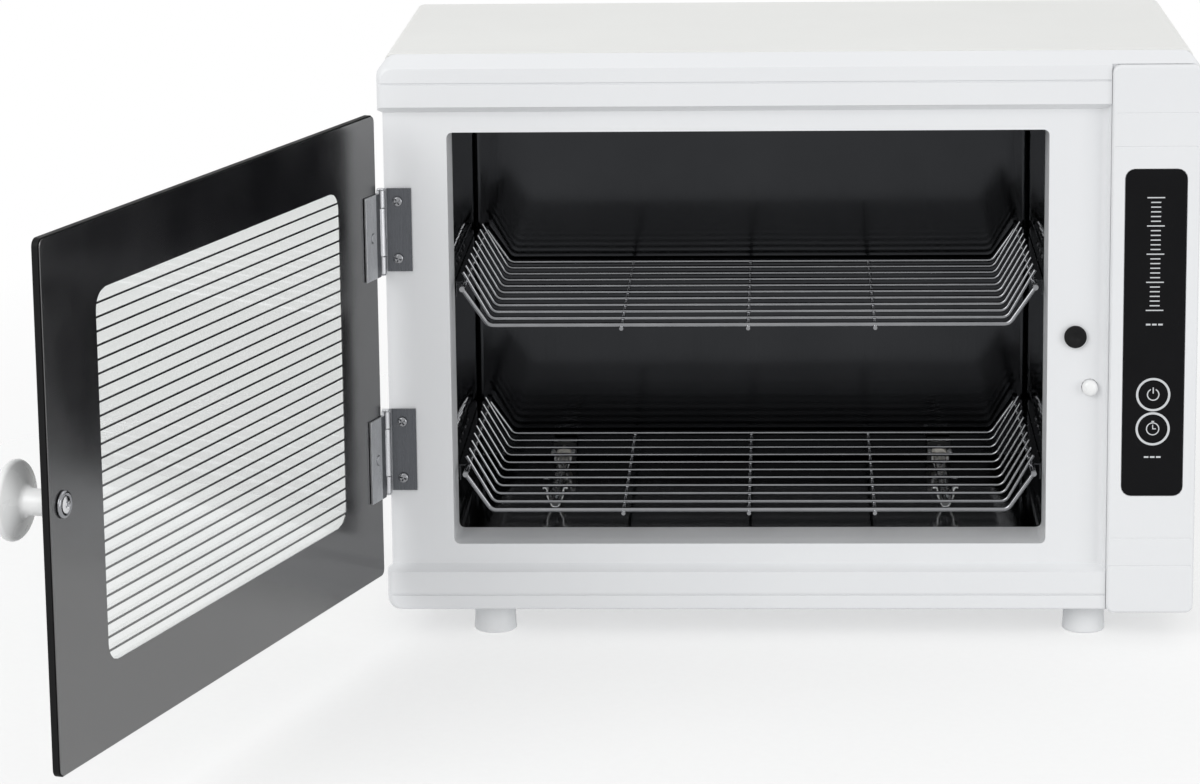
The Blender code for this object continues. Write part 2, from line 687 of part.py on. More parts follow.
def fascia_block(finish):
    """The outside of the moulded front, lofted from its rounded face back to the end of its skirt."""
    rings = []
    for step in range(EDGE_STEPS + 1):
        angle = math.pi / 2 * step / EDGE_STEPS
        distance = FASCIA_EDGE_ROUND * (1 - math.cos(angle))
        inset = FASCIA_EDGE_ROUND * (1 - math.sin(angle))
        rings.append(fascia_ring(distance, inset, TOP_CHAMFER - distance, inset / 2))
    rings.append(fascia_ring(TOP_CHAMFER, SHELL_SIDE_INSET * TAPER_SHARE, 0, 0))
    rings.append(fascia_ring(FASCIA_DEPTH, SHELL_SIDE_INSET, 0, 0))
    inside = HALF_WIDTH - INNER_HALF
    rings.append(fascia_ring(FASCIA_DEPTH, inside, FASCIA_HEIGHT - INNER_TOP, GAP))
    rings.append(fascia_ring(FASCIA_DEPTH + SKIRT_LENGTH, inside, FASCIA_HEIGHT - INNER_TOP, GAP))
    bm = bmesh.new()
    add_loft(bm, rings)
    return make_object("front_fascia", bm, finish)


def hollow_fascia(fascia):
    """Opens the moulding's back: inside the skirt, inside both bands and behind the control strip."""
    half = INNER_HALF - SKIRT_WALL
    top = INNER_TOP - SKIRT_WALL
    plate_back = depth(PLATE_BACK)
    beyond = plate_back + OVERRUN
    hollow = bmesh.new()
    outline = rounded_outline(-half, half, FASCIA_WALL, top, FASCIA_CORNER_RADIUS - SKIRT_WALL)
    add_solid(hollow, outline, "XZ", plate_back, depth(FASCIA_DEPTH + SKIRT_LENGTH + OVERRUN))
    combine(fascia, "fascia_hollow", hollow)
    near = depth(FASCIA_WALL)
    slant_start = FASCIA_HEIGHT - TOP_CHAMFER + FASCIA_WALL * (1 - math.sqrt(2))
    slant_end = depth(FASCIA_WALL + top - slant_start)
    top_band = (
        (near, RECESS_TOP + FASCIA_WALL),
        (near, slant_start),
        (slant_end, top),
        (beyond, top),
        (beyond, RECESS_TOP + FASCIA_WALL),
    )
    bands = bmesh.new()
    add_solid(bands, top_band, "YZ", -half, STRIP_LEFT)
    add_box(bands, (-half, near, FASCIA_WALL), (STRIP_LEFT, beyond, RECESS_BOTTOM - FASCIA_WALL))
    combine(fascia, "band_hollows", bands)
    pillar = bmesh.new()
    low = (STRIP_LEFT + FASCIA_WALL, depth(STRIP_SEAT_DEPTH + FASCIA_WALL), FASCIA_WALL)
    add_box(pillar, low, (half, beyond, slant_start))
    combine(fascia, "pillar_hollow", pillar)


def cut_door_seat(fascia):
    """Sinks the door's seat between the bands, with sloped edges and a hollow round by the strip."""
    rim = depth(0)
    floor = depth(RECESS_DEPTH)
    sides = (
        (rim - OVERRUN, RECESS_BOTTOM),
        (rim, RECESS_BOTTOM),
        (floor, RECESS_BOTTOM + RECESS_SLOPE),
        (floor, RECESS_TOP - RECESS_SLOPE),
        (rim, RECESS_TOP),
        (rim - OVERRUN, RECESS_TOP),
    )
    seat = bmesh.new()
    add_solid(seat, sides, "YZ", -HALF_WIDTH - OVERRUN, STRIP_LEFT)
    seat_cut = combine(fascia, "door_seat", seat)
    left = -HALF_WIDTH - 2 * OVERRUN
    near = rim - 2 * OVERRUN
    plan = [(left, floor), (left, near), (STRIP_LEFT, near)]
    plan += arc((STRIP_LEFT - RECESS_FILLET, floor - RECESS_FILLET), RECESS_FILLET, 0, 90)
    fillet = bmesh.new()
    add_solid(fillet, plan, "XY", RECESS_BOTTOM - OVERRUN, RECESS_TOP + OVERRUN)
    combine(seat_cut, "seat_fillet", fillet, "INTERSECT")


def cut_strip_seat(fascia):
    """Sinks the seat of the control strip and opens the window behind its panel."""
    strip = bmesh.new()
    low = (STRIP_LEFT, depth(-OVERRUN), STRIP_BOTTOM - OVERRUN)
    add_box(strip, low, (HALF_WIDTH + OVERRUN, depth(STRIP_SEAT_DEPTH), STRIP_TOP + GAP))
    combine(fascia, "strip_seat", strip)
    window = bmesh.new()
    outline = panel_outline(-PANEL_LEDGE, PANEL_LEDGE)
    add_solid(window, outline, "XZ", depth(-OVERRUN), depth(PLATE_BACK + OVERRUN))
    combine(fascia, "strip_window", window)


def opening_outline(reach, radius):
    """The opening's outline, wider all round by a reach."""
    left = OPENING_LEFT - reach
    right = OPENING_RIGHT + reach
    return rounded_outline(left, right, OPENING_BOTTOM - reach, OPENING_TOP + reach, radius)


def panel_outline(reach, radius):
    """The control panel's outline, wider all round by a reach."""
    half = PANEL_WIDTH / 2 + reach
    return rounded_outline(PANEL_X - half, PANEL_X + half, PANEL_BOTTOM - reach, PANEL_TOP + reach, radius)


def add_opening_sleeve(fascia):
    """The sleeve that lines the opening, with the lip at its end that the chamber's flange seats on."""
    sleeve = bmesh.new()
    outline = opening_outline(RETURN_WALL, OPENING_RADIUS + RETURN_WALL)
    add_solid(sleeve, outline, "XZ", depth(PLATE_BACK - FASCIA_WALL / 2), depth(RETURN_END))
    combine(fascia, "opening_sleeve", sleeve, "UNION")
    lip = bmesh.new()
    outline = opening_outline(RETURN_WALL + RETURN_LIP, OPENING_RADIUS)
    add_solid(lip, outline, "XZ", depth(RETURN_END - RETURN_WALL), depth(RETURN_END))
    combine(fascia, "sleeve_lip", lip, "UNION")


def add_fascia_bosses(fascia):
    """Bosses for the hinge screws and the circuit board, and the studs whose ends are melted to heads."""
    plate_back = depth(PLATE_BACK)
    bosses = bmesh.new()
    for x, z in leaf_screw_places():
        boss = circle(x, z, SCREW_RADIUS + GAP + BOSS_WALL)
        add_solid(bosses, boss, "XZ", plate_back - FASCIA_WALL / 2, plate_back + BOSS_LENGTH)
    for x, z in board_stud_places():
        boss = circle(x, z, SCREW_RADIUS + BOSS_WALL)
        add_solid(bosses, boss, "XZ", depth(STRIP_SEAT_DEPTH + FASCIA_WALL / 2), depth(BOARD_DEPTH - GAP))
    combine(fascia, "fascia_bosses", bosses, "UNION")
    studs = bmesh.new()
    for x, z in board_stud_places():
        add_stud(studs, (x, depth(BOARD_DEPTH - GAP), z), BOARD_SHEET)
    for x, z in liner_stud_places():
        add_stud(studs, (x, depth(RETURN_END), z), LINER_SHEET)
    combine(fascia, "staked_studs", studs, "UNION")


def cut_fascia_holes(fascia):
    """Cuts the opening, the bands' grooves and the holes for screws, magnet and plunger."""
    plate_back = depth(PLATE_BACK)
    cuts = bmesh.new()
    outline = opening_outline(0, OPENING_RADIUS)
    add_solid(cuts, outline, "XZ", depth(-OVERRUN), depth(RETURN_END + OVERRUN))
    for z in (TOP_GROOVE_Z, BOTTOM_GROOVE_Z):
        low = (-HALF_WIDTH - OVERRUN, depth(-OVERRUN), z - BAND_GROOVE_WIDTH / 2)
        high = (STRIP_LEFT - GAP, depth(BAND_GROOVE_DEPTH), z + BAND_GROOVE_WIDTH / 2)
        add_box(cuts, low, high)
    for x, z in leaf_screw_places():
        hole = circle(x, z, SCREW_RADIUS + GAP, SCREW_SIDES)
        add_solid(cuts, hole, "XZ", depth(0), plate_back + BOSS_LENGTH + OVERRUN)
    add_side_holes(cuts, "front")
    magnet = circle(KNOB_WORLD_X, KNOB_Z, MAGNET_SHANK_RADIUS + GAP)
    add_solid(cuts, magnet, "XZ", depth(0), plate_back + OVERRUN)
    plunger = circle(SWITCH_X, SWITCH_Z, PLUNGER_RADIUS + GAP)
    add_solid(cuts, plunger, "XZ", depth(0), plate_back + OVERRUN)
    combine(fascia, "fascia_cuts", cuts)


def add_stud(bm, seat, sheet):
    """A moulded stud that passes through a sheet seated on it, with its end melted to a head."""
    top = sheet + 2 * GAP
    profile = (
        (0, -BOSS_WALL / 2),
        (SCREW_RADIUS, -BOSS_WALL / 2),
        (SCREW_RADIUS, top),
        (STUD_HEAD_RADIUS, top),
        (STUD_HEAD_RADIUS * ROUND_HEAD_SHARE, top + STUD_HEAD),
        (0, top + STUD_HEAD),
    )
    add_turned(bm, profile, seat, (0, 1, 0), SCREW_SIDES)


def leaf_screw_places():
    x = HINGE_X + LEAF_SCREW_X
    return [(x, z + side * LEAF_SCREW_SPREAD) for z in HINGE_HEIGHTS.values() for side in (1, -1)]


def board_stud_places():
    low = PANEL_BOTTOM - BOARD_MARGIN + BOARD_STUD_MARGIN
    high = PANEL_TOP + BOARD_MARGIN - BOARD_STUD_MARGIN
    return [(PANEL_X, low), (PANEL_X, high)]


def liner_stud_places():
    reach = LINER_STUD_OFFSET
    return [
        (x, z)
        for x in (OPENING_LEFT - reach, OPENING_RIGHT + reach)
        for z in (OPENING_BOTTOM - reach, OPENING_TOP + reach)
    ]


def build_control_bezel(finish):
    """The raised strip on the right, with a pocket and a window for the black control panel."""
    bm = bmesh.new()
    left = STRIP_LEFT + GAP
    outline = rounded_outline(left, HALF_WIDTH, STRIP_BOTTOM, STRIP_TOP, STRIP_CORNER_RADIUS)
    face = depth(-STRIP_PROUD)
    add_solid(bm, outline, "XZ", face, depth(STRIP_SEAT_DEPTH - GAP))
    front = [edge for edge in bm.edges if all(abs(vert.co.y - face) < GAP for vert in edge.verts)]
    bmesh.ops.bevel(
        bm,
        geom=front,
        offset=STRIP_EDGE_ROUND,
        segments=EDGE_STEPS,
        profile=ROUND_PROFILE_SHARE,
        affect="EDGES",
        material=-1,
    )
    bezel = make_object("control_bezel", bm, finish)
    pocket = bmesh.new()
    outline = panel_outline(GAP, PANEL_RADIUS + GAP)
    add_solid(pocket, outline, "XZ", face - OVERRUN, face + PANEL_SHEET + GAP)
    combine(bezel, "panel_pocket", pocket)
    cuts = bmesh.new()
    add_solid(cuts, panel_outline(-PANEL_LEDGE, PANEL_LEDGE), "XZ", face, depth(STRIP_SEAT_DEPTH + OVERRUN))
    heights = [STRIP_TOP - drop for drop in STRIP_LINE_DROPS]
    heights += [STRIP_BOTTOM + rise for rise in STRIP_LINE_RISES]
    right = HALF_WIDTH - STRIP_EDGE_ROUND
    for z in heights:
        low = (left + STRIP_EDGE_ROUND, face - OVERRUN, z - STRIP_LINE_WIDTH / 2)
        add_box(cuts, low, (right, face + STRIP_LINE_DEPTH, z + STRIP_LINE_WIDTH / 2))
    combine(bezel, "bezel_cuts", cuts)
    return bezel


def build_control_panel(finish):
    """The black panel sheet, let into the bezel, with two round key holes."""
    bm = bmesh.new()
    face = depth(-STRIP_PROUD)
    add_solid(bm, panel_outline(0, PANEL_RADIUS), "XZ", face, face + PANEL_SHEET)
    panel = make_object("control_panel", bm, finish)
    holes = bmesh.new()
    for z in KEY_HEIGHTS.values():
        hole = circle(PANEL_X, z, KEY_RADIUS + GAP, ROUND_SIDES)
        add_solid(holes, hole, "XZ", depth(-STRIP_PROUD - OVERRUN), depth(OVERRUN))
    combine(panel, "key_holes", holes)
    return panel


def build_key(name, finish):
    """A push key: its cap fills a hole of the panel and its lip stays behind the sheet."""
    lip_front = -STRIP_PROUD + PANEL_SHEET + GAP
    stem_end = tact_front() - KEY_TRAVEL - GAP
    profile = (
        (0, lip_front - stem_end),
        (KEY_STEM_RADIUS, lip_front - stem_end),
        (KEY_STEM_RADIUS, -KEY_LIP),
        (KEY_LIP_RADIUS, -KEY_LIP),
        (KEY_LIP_RADIUS, 0),
        (KEY_RADIUS, 0),
        (KEY_RADIUS, PANEL_SHEET + GAP - KEY_EDGE_SHARE * PANEL_SHEET),
        (KEY_RADIUS - KEY_EDGE_SHARE * PANEL_SHEET, PANEL_SHEET + GAP),
        (0, PANEL_SHEET + GAP),
    )
    bm = bmesh.new()
    add_turned(bm, profile, (0, 0, 0), (0, -1, 0), ROUND_SIDES)
    return make_object(name, bm, finish, location=(PANEL_X, depth(lip_front), KEY_HEIGHTS[name]))


def tact_front():
    return BOARD_DEPTH - TACT_HEIGHT - GAP


def build_control_board(finish):
    """The circuit board: display and key switches in front, relay, capacitors and terminals behind."""
    bottom = PANEL_BOTTOM - BOARD_MARGIN
    top = PANEL_TOP + BOARD_MARGIN
    back = BOARD_DEPTH + BOARD_SHEET
    bm = bmesh.new()
    half = BOARD_WIDTH / 2
    add_box(bm, (PANEL_X - half, depth(BOARD_DEPTH), bottom), (PANEL_X + half, depth(back), top))
    board = make_object("control_board", bm, finish)
    parts = bmesh.new()
    sunk = depth(back - BOARD_SHEET / 2)
    for z in KEY_HEIGHTS.values():
        low = (PANEL_X - TACT_SIZE / 2, depth(tact_front()), z - TACT_SIZE / 2)
        add_box(parts, low, (PANEL_X + TACT_SIZE / 2, sunk, z + TACT_SIZE / 2))
    half = DISPLAY_WIDTH / 2
    low = (PANEL_X - half, depth(-STRIP_PROUD + PANEL_SHEET + GAP), DISPLAY_Z - DISPLAY_HEIGHT / 2)
    add_box(parts, low, (PANEL_X + half, sunk, DISPLAY_Z + DISPLAY_HEIGHT / 2))
    combine(board, "front_parts", parts, "UNION")
    parts = bmesh.new()
    middle = (bottom + top) / 2
    low = (PANEL_X - RELAY_WIDTH / 2, sunk, middle - RELAY_HEIGHT / 2)
    add_box(parts, low, (PANEL_X + RELAY_WIDTH / 2, depth(back + RELAY_DEPTH), middle + RELAY_HEIGHT / 2))
    for step in (1, 2):
        z = middle + RELAY_HEIGHT / 2 + step * CAPACITOR_PITCH
        add_solid(parts, circle(PANEL_X, z, CAPACITOR_RADIUS), "XZ", sunk, depth(back + CAPACITOR_HEIGHT))
    block_top = middle - RELAY_HEIGHT
    low = (PANEL_X - RELAY_WIDTH / 2, sunk, block_top - RELAY_HEIGHT)
    add_box(parts, low, (PANEL_X + RELAY_WIDTH / 2, depth(back + RELAY_DEPTH / 2), block_top))
    combine(board, "back_parts", parts, "UNION")
    holes = bmesh.new()
    for x, z in board_stud_places():
        hole = circle(x, z, SCREW_RADIUS + GAP, SCREW_SIDES)
        add_solid(holes, hole, "XZ", depth(BOARD_DEPTH - OVERRUN), depth(back + OVERRUN))
    combine(board, "board_holes", holes)
    return board


def build_liner(finish):
    """The five polished walls of the chamber, with a flange at the front that seats on the sleeve."""
    front = depth(RETURN_END + GAP)
    back = depth(LINER_BACK_DEPTH)
    bm = bmesh.new()
    low = Vector((OPENING_LEFT, front, OPENING_BOTTOM))
    high = Vector((OPENING_RIGHT, back, OPENING_TOP))
    bmesh.ops.create_cube(bm, size=1)
    bmesh.ops.scale(bm, vec=high - low, verts=bm.verts)
    bmesh.ops.translate(bm, vec=(low + high) / 2, verts=bm.verts)
    mouth = min(bm.faces, key=lambda face: face.calc_center_median().y)
    bmesh.ops.delete(bm, geom=[mouth], context="FACES_ONLY")
    folds = [edge for edge in bm.edges if len(edge.link_faces) == 2]
    bmesh.ops.bevel(
        bm,
        geom=folds,
        offset=LINER_BEND_RADIUS,
        segments=CORNER_STEPS,
        profile=ROUND_PROFILE_SHARE,
        affect="EDGES",
        material=-1,
    )
    rim = [edge for edge in bm.edges if len(edge.link_faces) == 1]
    grown = bmesh.ops.extrude_edge_only(bm, edges=rim)["geom"]
    middle = (low + high) / 2
    for vert in (item for item in grown if isinstance(item, bmesh.types.BMVert)):
        side = 1 if vert.co.x > middle.x else -1
        level = 1 if vert.co.z > middle.z else -1
        near_side = abs(vert.co.x - middle.x) > (high.x - low.x) / 2 - GAP
        near_level = abs(vert.co.z - middle.z) > (high.z - low.z) / 2 - GAP
        corner = not near_side and not near_level
        vert.co.x += side * LINER_FLANGE * (near_side or corner)
        vert.co.z += level * LINER_FLANGE * (near_level or corner)
    liner = make_object("chamber_liner", bm, finish)
    if max(liner.data.polygons, key=lambda face: face.center.y).normal.y > 0:
        liner.data.flip_normals()
    sheet = liner.modifiers.new("sheet", "SOLIDIFY")
    sheet.thickness = LINER_SHEET
    sheet.offset = -1
    sheet.use_even_offset = True
    holes = bmesh.new()
    for x, z in liner_stud_places():
        hole = circle(x, z, SCREW_RADIUS + GAP, SCREW_SIDES)
        add_solid(holes, hole, "XZ", front - OVERRUN, front + OVERRUN)
    for x in lamp_places():
        hole = circle(x, socket_y(), SOCKET_STEM_RADIUS + GAP)
        add_solid(holes, hole, "XY", OPENING_BOTTOM - OVERRUN, OPENING_BOTTOM + OVERRUN)
    combine(liner, "liner_holes", holes)
    return liner


def lamp_places():
    return (CHAMBER_X - LAMP_OFFSET, CHAMBER_X + LAMP_OFFSET)


def lamp_z():
    return OPENING_BOTTOM + GAP + CLIP_BELLY_HEIGHT


def socket_y():
    return depth(LAMP_BACK_DEPTH + LAMP_BASE_LENGTH + GAP + SOCKET_LENGTH / 2)


def build_lamp(name, x, finish):
    """A slim single-ended germicidal lamp: domed quartz in front, a plain base at the back."""
    length = LAMP_BACK_DEPTH - LAMP_FRONT_DEPTH
    dome = [(0, 0)]
    for step in range(1, ARC_STEPS + 1):
        angle = math.pi / 2 * step / ARC_STEPS
        dome.append((LAMP_RADIUS * math.sin(angle), LAMP_RADIUS * (1 - math.cos(angle))))
    profile = dome + [
        (LAMP_RADIUS, length),
        (LAMP_BASE_RADIUS, length),
        (LAMP_BASE_RADIUS, length + LAMP_BASE_LENGTH),
        (0, length + LAMP_BASE_LENGTH),
    ]
    bm = bmesh.new()
    add_turned(bm, profile, (0, 0, 0), (0, 1, 0))
    return make_object(name, bm, finish, location=(x, depth(LAMP_FRONT_DEPTH), lamp_z()))


def build_socket(name, x, finish):
    """The holder behind a lamp's base, on a stem that passes through the chamber floor."""
    floor = OPENING_BOTTOM + GAP
    bm = bmesh.new()
    half = SOCKET_WIDTH / 2
    low = (x - half, socket_y() - SOCKET_LENGTH / 2, floor)
    add_box(bm, low, (x + half, socket_y() + SOCKET_LENGTH / 2, floor + SOCKET_HEIGHT))
    socket = make_object(name, bm, finish)
    stem = bmesh.new()
    end = floor - LINER_SHEET - SOCKET_STEM
    add_solid(stem, circle(x, socket_y(), SOCKET_STEM_RADIUS), "XY", end, floor + OVERRUN)
    combine(socket, name + "_stem", stem, "UNION")
    return socket


def build_lamp_clip(name, x, distance, finish):
    """A bent spring strip: a narrow foot, two prongs round the tube and flared tips."""
    half = [
        (CLIP_BASE, 0),
        (CLIP_BASE + CLIP_SHEET, CLIP_BASE),
        (CLIP_BELLY, CLIP_BELLY_HEIGHT),
        (CLIP_NECK, CLIP_NECK_HEIGHT),
        ((CLIP_NECK + CLIP_TIP) / 2, (CLIP_NECK_HEIGHT + CLIP_TIP_HEIGHT) / 2 + CLIP_SHEET),
        (CLIP_TIP, CLIP_TIP_HEIGHT),
    ]
    line = [(-u, v) for u, v in reversed(half)] + half
    bm = bmesh.new()
    verts = [bm.verts.new((u, -CLIP_WIDTH / 2, v)) for u, v in line]
    edges = [bm.edges.new(pair) for pair in zip(verts, verts[1:])]
    grown = bmesh.ops.extrude_edge_only(bm, edges=edges)["geom"]
    moved = [item for item in grown if isinstance(item, bmesh.types.BMVert)]
    bmesh.ops.translate(bm, verts=moved, vec=(0, CLIP_WIDTH, 0))
    seat = (x, depth(distance), OPENING_BOTTOM + GAP + CLIP_SHEET / 2)
    clip = make_object(name, bm, finish, location=seat)
    sheet = clip.modifiers.new("sheet", "SOLIDIFY")
    sheet.thickness = CLIP_SHEET
    sheet.offset = 0
    sheet.use_even_offset = True
    return clip


def shelf_wire(end_half, end_height, y):
    """One wire: a flat floor, and two ends bent up and outwards by a bend radius."""
    angle = math.atan2(end_height, end_half - FLOOR_HALF)
    setback = SHELF_BEND_RADIUS * math.tan(angle / 2)
    points = []
    for step in range(WIRE_BEND_STEPS + 1):
        turn = angle * step / WIRE_BEND_STEPS
        u = FLOOR_HALF - setback + SHELF_BEND_RADIUS * math.sin(turn)
        points.append((u, y, SHELF_BEND_RADIUS * (1 - math.cos(turn))))
    points.append((end_half, y, end_height))
    return [(-u, v, w) for u, v, w in reversed(points)] + points


def build_shelf(name, finish):
    """A wire shelf: thin wires that end above two rims, two frame wires and three wires across below."""
    length = SHELF_BACK_DEPTH - SHELF_FRONT_DEPTH
    bm = bmesh.new()
    for i in range(SHELF_WIRE_COUNT):
        y = length * i / (SHELF_WIRE_COUNT - 1)
        if i in (0, SHELF_WIRE_COUNT - 1):
            add_tube(bm, shelf_wire(RIM_HALF, RIM_RISE, y), FRAME_WIRE_RADIUS)
        else:
            add_tube(bm, shelf_wire(TIP_HALF, SHELF_RISE, y), WIRE_RADIUS)
    start = (CHAMBER_X, depth(SHELF_FRONT_DEPTH), SHELF_FLOOR_HEIGHTS[name])
    shelf = make_object(name, bm, finish, location=start)
    bars = bmesh.new()
    for side in (-1, 1):
        ends = [(side * RIM_HALF, y, RIM_RISE) for y in (-RIM_END, length + RIM_END)]
        add_tube(bars, ends, RIM_WIRE_RADIUS, RIM_SIDES)
    below = WELD_SINK - WIRE_RADIUS - CROSS_WIRE_RADIUS
    for side in (-1, 0, 1):
        x = side * CROSS_WIRE_PITCH
        ends = [(x, y, below) for y in (-CROSS_WIRE_END, length + CROSS_WIRE_END)]
        add_tube(bars, ends, CROSS_WIRE_RADIUS)
    combine(shelf, name + "_bars", bars, "UNION", location=start)
    return shelf


def build_rail(name, side, shelf, finish):
    """An angle strip on the chamber wall, whose edge carries the shelf's rim, with two tabs turned down."""
    reach = RIM_WIRE_RADIUS + GAP
    edge = RIM_HALF + reach * RIM_RISE / RIM_SLOPE
    top = SHELF_FLOOR_HEIGHTS[shelf] + RIM_RISE - reach * RIM_RUN / RIM_SLOPE
    near = CHAMBER_HALF - GAP
    profile = (
        (near, top),
        (near, top - RAIL_LEG),
        (near - RAIL_SHEET, top - RAIL_LEG),
        (near - RAIL_SHEET, top - RAIL_SHEET),
        (edge, top - RAIL_SHEET),
        (edge, top),
    )
    outline = [(CHAMBER_X + side * u, v) for u, v in profile]
    bm = bmesh.new()
    add_solid(bm, outline, "XZ", depth(RAIL_FRONT_DEPTH), depth(LINER_BACK_DEPTH - RAIL_BACK_MARGIN))
    rail = make_object(name, bm, finish)
    tabs = bmesh.new()
    left, right = sorted((CHAMBER_X + side * edge, CHAMBER_X + side * (edge + RAIL_SHEET)))
    for middle in (RAIL_TAB_DEPTH, LINER_BACK_DEPTH - RAIL_TAB_BACK_GAP):
        low = (left, depth(middle - RAIL_TAB_LENGTH / 2), top - RAIL_SHEET - RAIL_TAB_DROP)
        add_box(tabs, low, (right, depth(middle + RAIL_TAB_LENGTH / 2), top - RAIL_SHEET / 2))
    combine(rail, name + "_tabs", tabs, "UNION")
    return rail


def build_ballast(finish):
    """The lamp ballast: a potted box with one ear under the pan's tab and one under a screw."""
    left = BALLAST_X - BALLAST_WIDTH / 2
    right = BALLAST_X + BALLAST_WIDTH / 2
    near = depth(BALLAST_DEPTH - BALLAST_LENGTH / 2)
    far = depth(BALLAST_DEPTH + BALLAST_LENGTH / 2)
    floor = PAN_SHEET + GAP
    profile = (
        (near - BALLAST_EAR, floor),
        (far + BALLAST_EAR, floor),
        (far + BALLAST_EAR, floor + BALLAST_EAR_SHEET),
        (far, floor + BALLAST_EAR_SHEET),
        (far, floor + BALLAST_HEIGHT),
        (near, floor + BALLAST_HEIGHT),
        (near, floor + BALLAST_EAR_SHEET),
        (near - BALLAST_EAR, floor + BALLAST_EAR_SHEET),
    )
    bm = bmesh.new()
    add_solid(bm, profile, "YZ", left, right)
    ballast = make_object("lamp_ballast", bm, finish)
    holes = bmesh.new()
    x, y = ballast_screw_place()
    add_solid(holes, circle(x, y, SCREW_RADIUS + GAP, SCREW_SIDES), "XY", -OVERRUN, floor + OVERRUN)
    combine(ballast, "ear_hole", holes)
    return ballast


def build_loom(finish):
    """The wiring: down from both sockets, along the back to the ballast and up to the board's terminals."""
    y = socket_y()
    level = OPENING_BOTTOM - LINER_SHEET - SOCKET_STEM
    low = PAN_SHEET + BALLAST_HEIGHT / 2
    left, right = lamp_places()
    ballast_end = depth(BALLAST_DEPTH + BALLAST_LENGTH / 2) + GAP
    terminals = depth(BOARD_DEPTH + BOARD_SHEET + RELAY_DEPTH / 2) + GAP
    height = (PANEL_BOTTOM + PANEL_TOP) / 2 - RELAY_HEIGHT - RELAY_HEIGHT / 2
    bend = level - low - GAP
    bm = bmesh.new()
    run = [(left, y, level), (left, y, low), (PANEL_X, y, low)]
    run += [(PANEL_X, y, height), (PANEL_X, terminals, height)]
    add_tube(bm, soft_path(run, bend), LEAD_RADIUS)
    loom = make_object("wiring_loom", bm, finish)
    branches = bmesh.new()
    add_tube(branches, ((right, y, level), (right, y, low)), LEAD_RADIUS * BRANCH_SHARE)
    add_tube(branches, ((BALLAST_X, y, low), (BALLAST_X, ballast_end, low)), LEAD_RADIUS * BRANCH_SHARE)
    combine(loom, "loom_branches", branches, "UNION")
    return loom


def soft_path(corners, radius):
    """Points along a path whose corners are rounded by a quadratic curve."""
    corners = [Vector(corner) for corner in corners]
    points = [corners[0]]
    for before, corner, after in zip(corners, corners[1:], corners[2:]):
        reach = min(radius, (corner - before).length / 2, (after - corner).length / 2)
        first = corner + (before - corner).normalized() * reach
        last = corner + (after - corner).normalized() * reach
        for step in range(ARC_STEPS + 1):
            share = step / ARC_STEPS
            mixed = first * (1 - share) ** 2 + corner * 2 * share * (1 - share) + last * share**2
            if (mixed - points[-1]).length > GAP:
                points.append(mixed)
    points.append(corners[-1])
    return points


def build_gland(finish):
    """The cord's strain relief in the back panel, with an open bore."""
    face = BACK_FACE_DEPTH
    profile = (
        (CORD_BORE_RADIUS, -GLAND_BODY),
        (GLAND_RADIUS, -GLAND_BODY),
        (GLAND_RADIUS, GAP),
        (GLAND_HEAD_RADIUS, GAP),
        (GLAND_HEAD_RADIUS, GLAND_HEAD / 2),
        (GLAND_RADIUS, GLAND_HEAD),
        (CORD_BORE_RADIUS, GLAND_HEAD),
        (CORD_BORE_RADIUS, -GLAND_BODY),
    )
    bm = bmesh.new()
    add_turned(bm, profile, (GLAND_X, depth(face), GLAND_Z), (0, 1, 0))
    return make_object("cord_gland", bm, finish)


def build_foot(name, place, finish):
    """A turned rubber foot with a well for its screw."""
    round_ = FOOT_EDGE_ROUND
    profile = [(0, -FOOT_HEIGHT + FOOT_WELL_DEPTH), (FOOT_WELL_RADIUS, -FOOT_HEIGHT + FOOT_WELL_DEPTH)]
    profile.append((FOOT_WELL_RADIUS, -FOOT_HEIGHT))
    for radius, height in arc((FOOT_RADIUS - round_, round_ - FOOT_HEIGHT), round_, -90, 0, EDGE_STEPS):
        profile.append((radius, height))
    profile += [(FOOT_TOP_RADIUS, -GAP), (0, -GAP)]
    bm = bmesh.new()
    add_turned(bm, profile, (0, 0, 0), sides=FOOT_SIDES)
    foot = make_object(name, bm, finish, location=(place[0], place[1], 0))
    hole = bmesh.new()
    add_solid(hole, circle(0, 0, SCREW_RADIUS + GAP, SCREW_SIDES), "XY", -FOOT_HEIGHT, OVERRUN)
    combine(foot, name + "_hole", hole, location=foot.location)
    return foot


def build_screw(name, seat, outward, finish, length=SCREW_LENGTH):
    """A round-headed screw: its head rests a gap off the seat and its shank runs the other way."""
    profile = (
        (0, -length),
        (SCREW_RADIUS, -length),
        (SCREW_RADIUS, GAP),
        (SCREW_HEAD_RADIUS, GAP),
        (SCREW_HEAD_RADIUS, GAP + SCREW_HEAD / 2),
        (SCREW_HEAD_RADIUS * ROUND_HEAD_SHARE, GAP + SCREW_HEAD),
        (0, GAP + SCREW_HEAD),
    )
    bm = bmesh.new()
    add_turned(bm, profile, (0, 0, 0), outward, SCREW_SIDES)
    return make_object(name, bm, finish, location=seat)


def build_magnet(finish):
    """The round catch magnet, its cap on the door seat and its shank through the plate."""
    profile = (
        (0, -MAGNET_SHANK),
        (MAGNET_SHANK_RADIUS, -MAGNET_SHANK),
        (MAGNET_SHANK_RADIUS, GAP),
        (MAGNET_RADIUS, GAP),
        (MAGNET_RADIUS, MAGNET_PROUD - GAP),
        (MAGNET_RADIUS - GAP, MAGNET_PROUD),
        (0, MAGNET_PROUD),
    )
    bm = bmesh.new()
    add_turned(bm, profile, (KNOB_WORLD_X, depth(RECESS_DEPTH), KNOB_Z), (0, -1, 0))
    return make_object("catch_magnet", bm, finish)


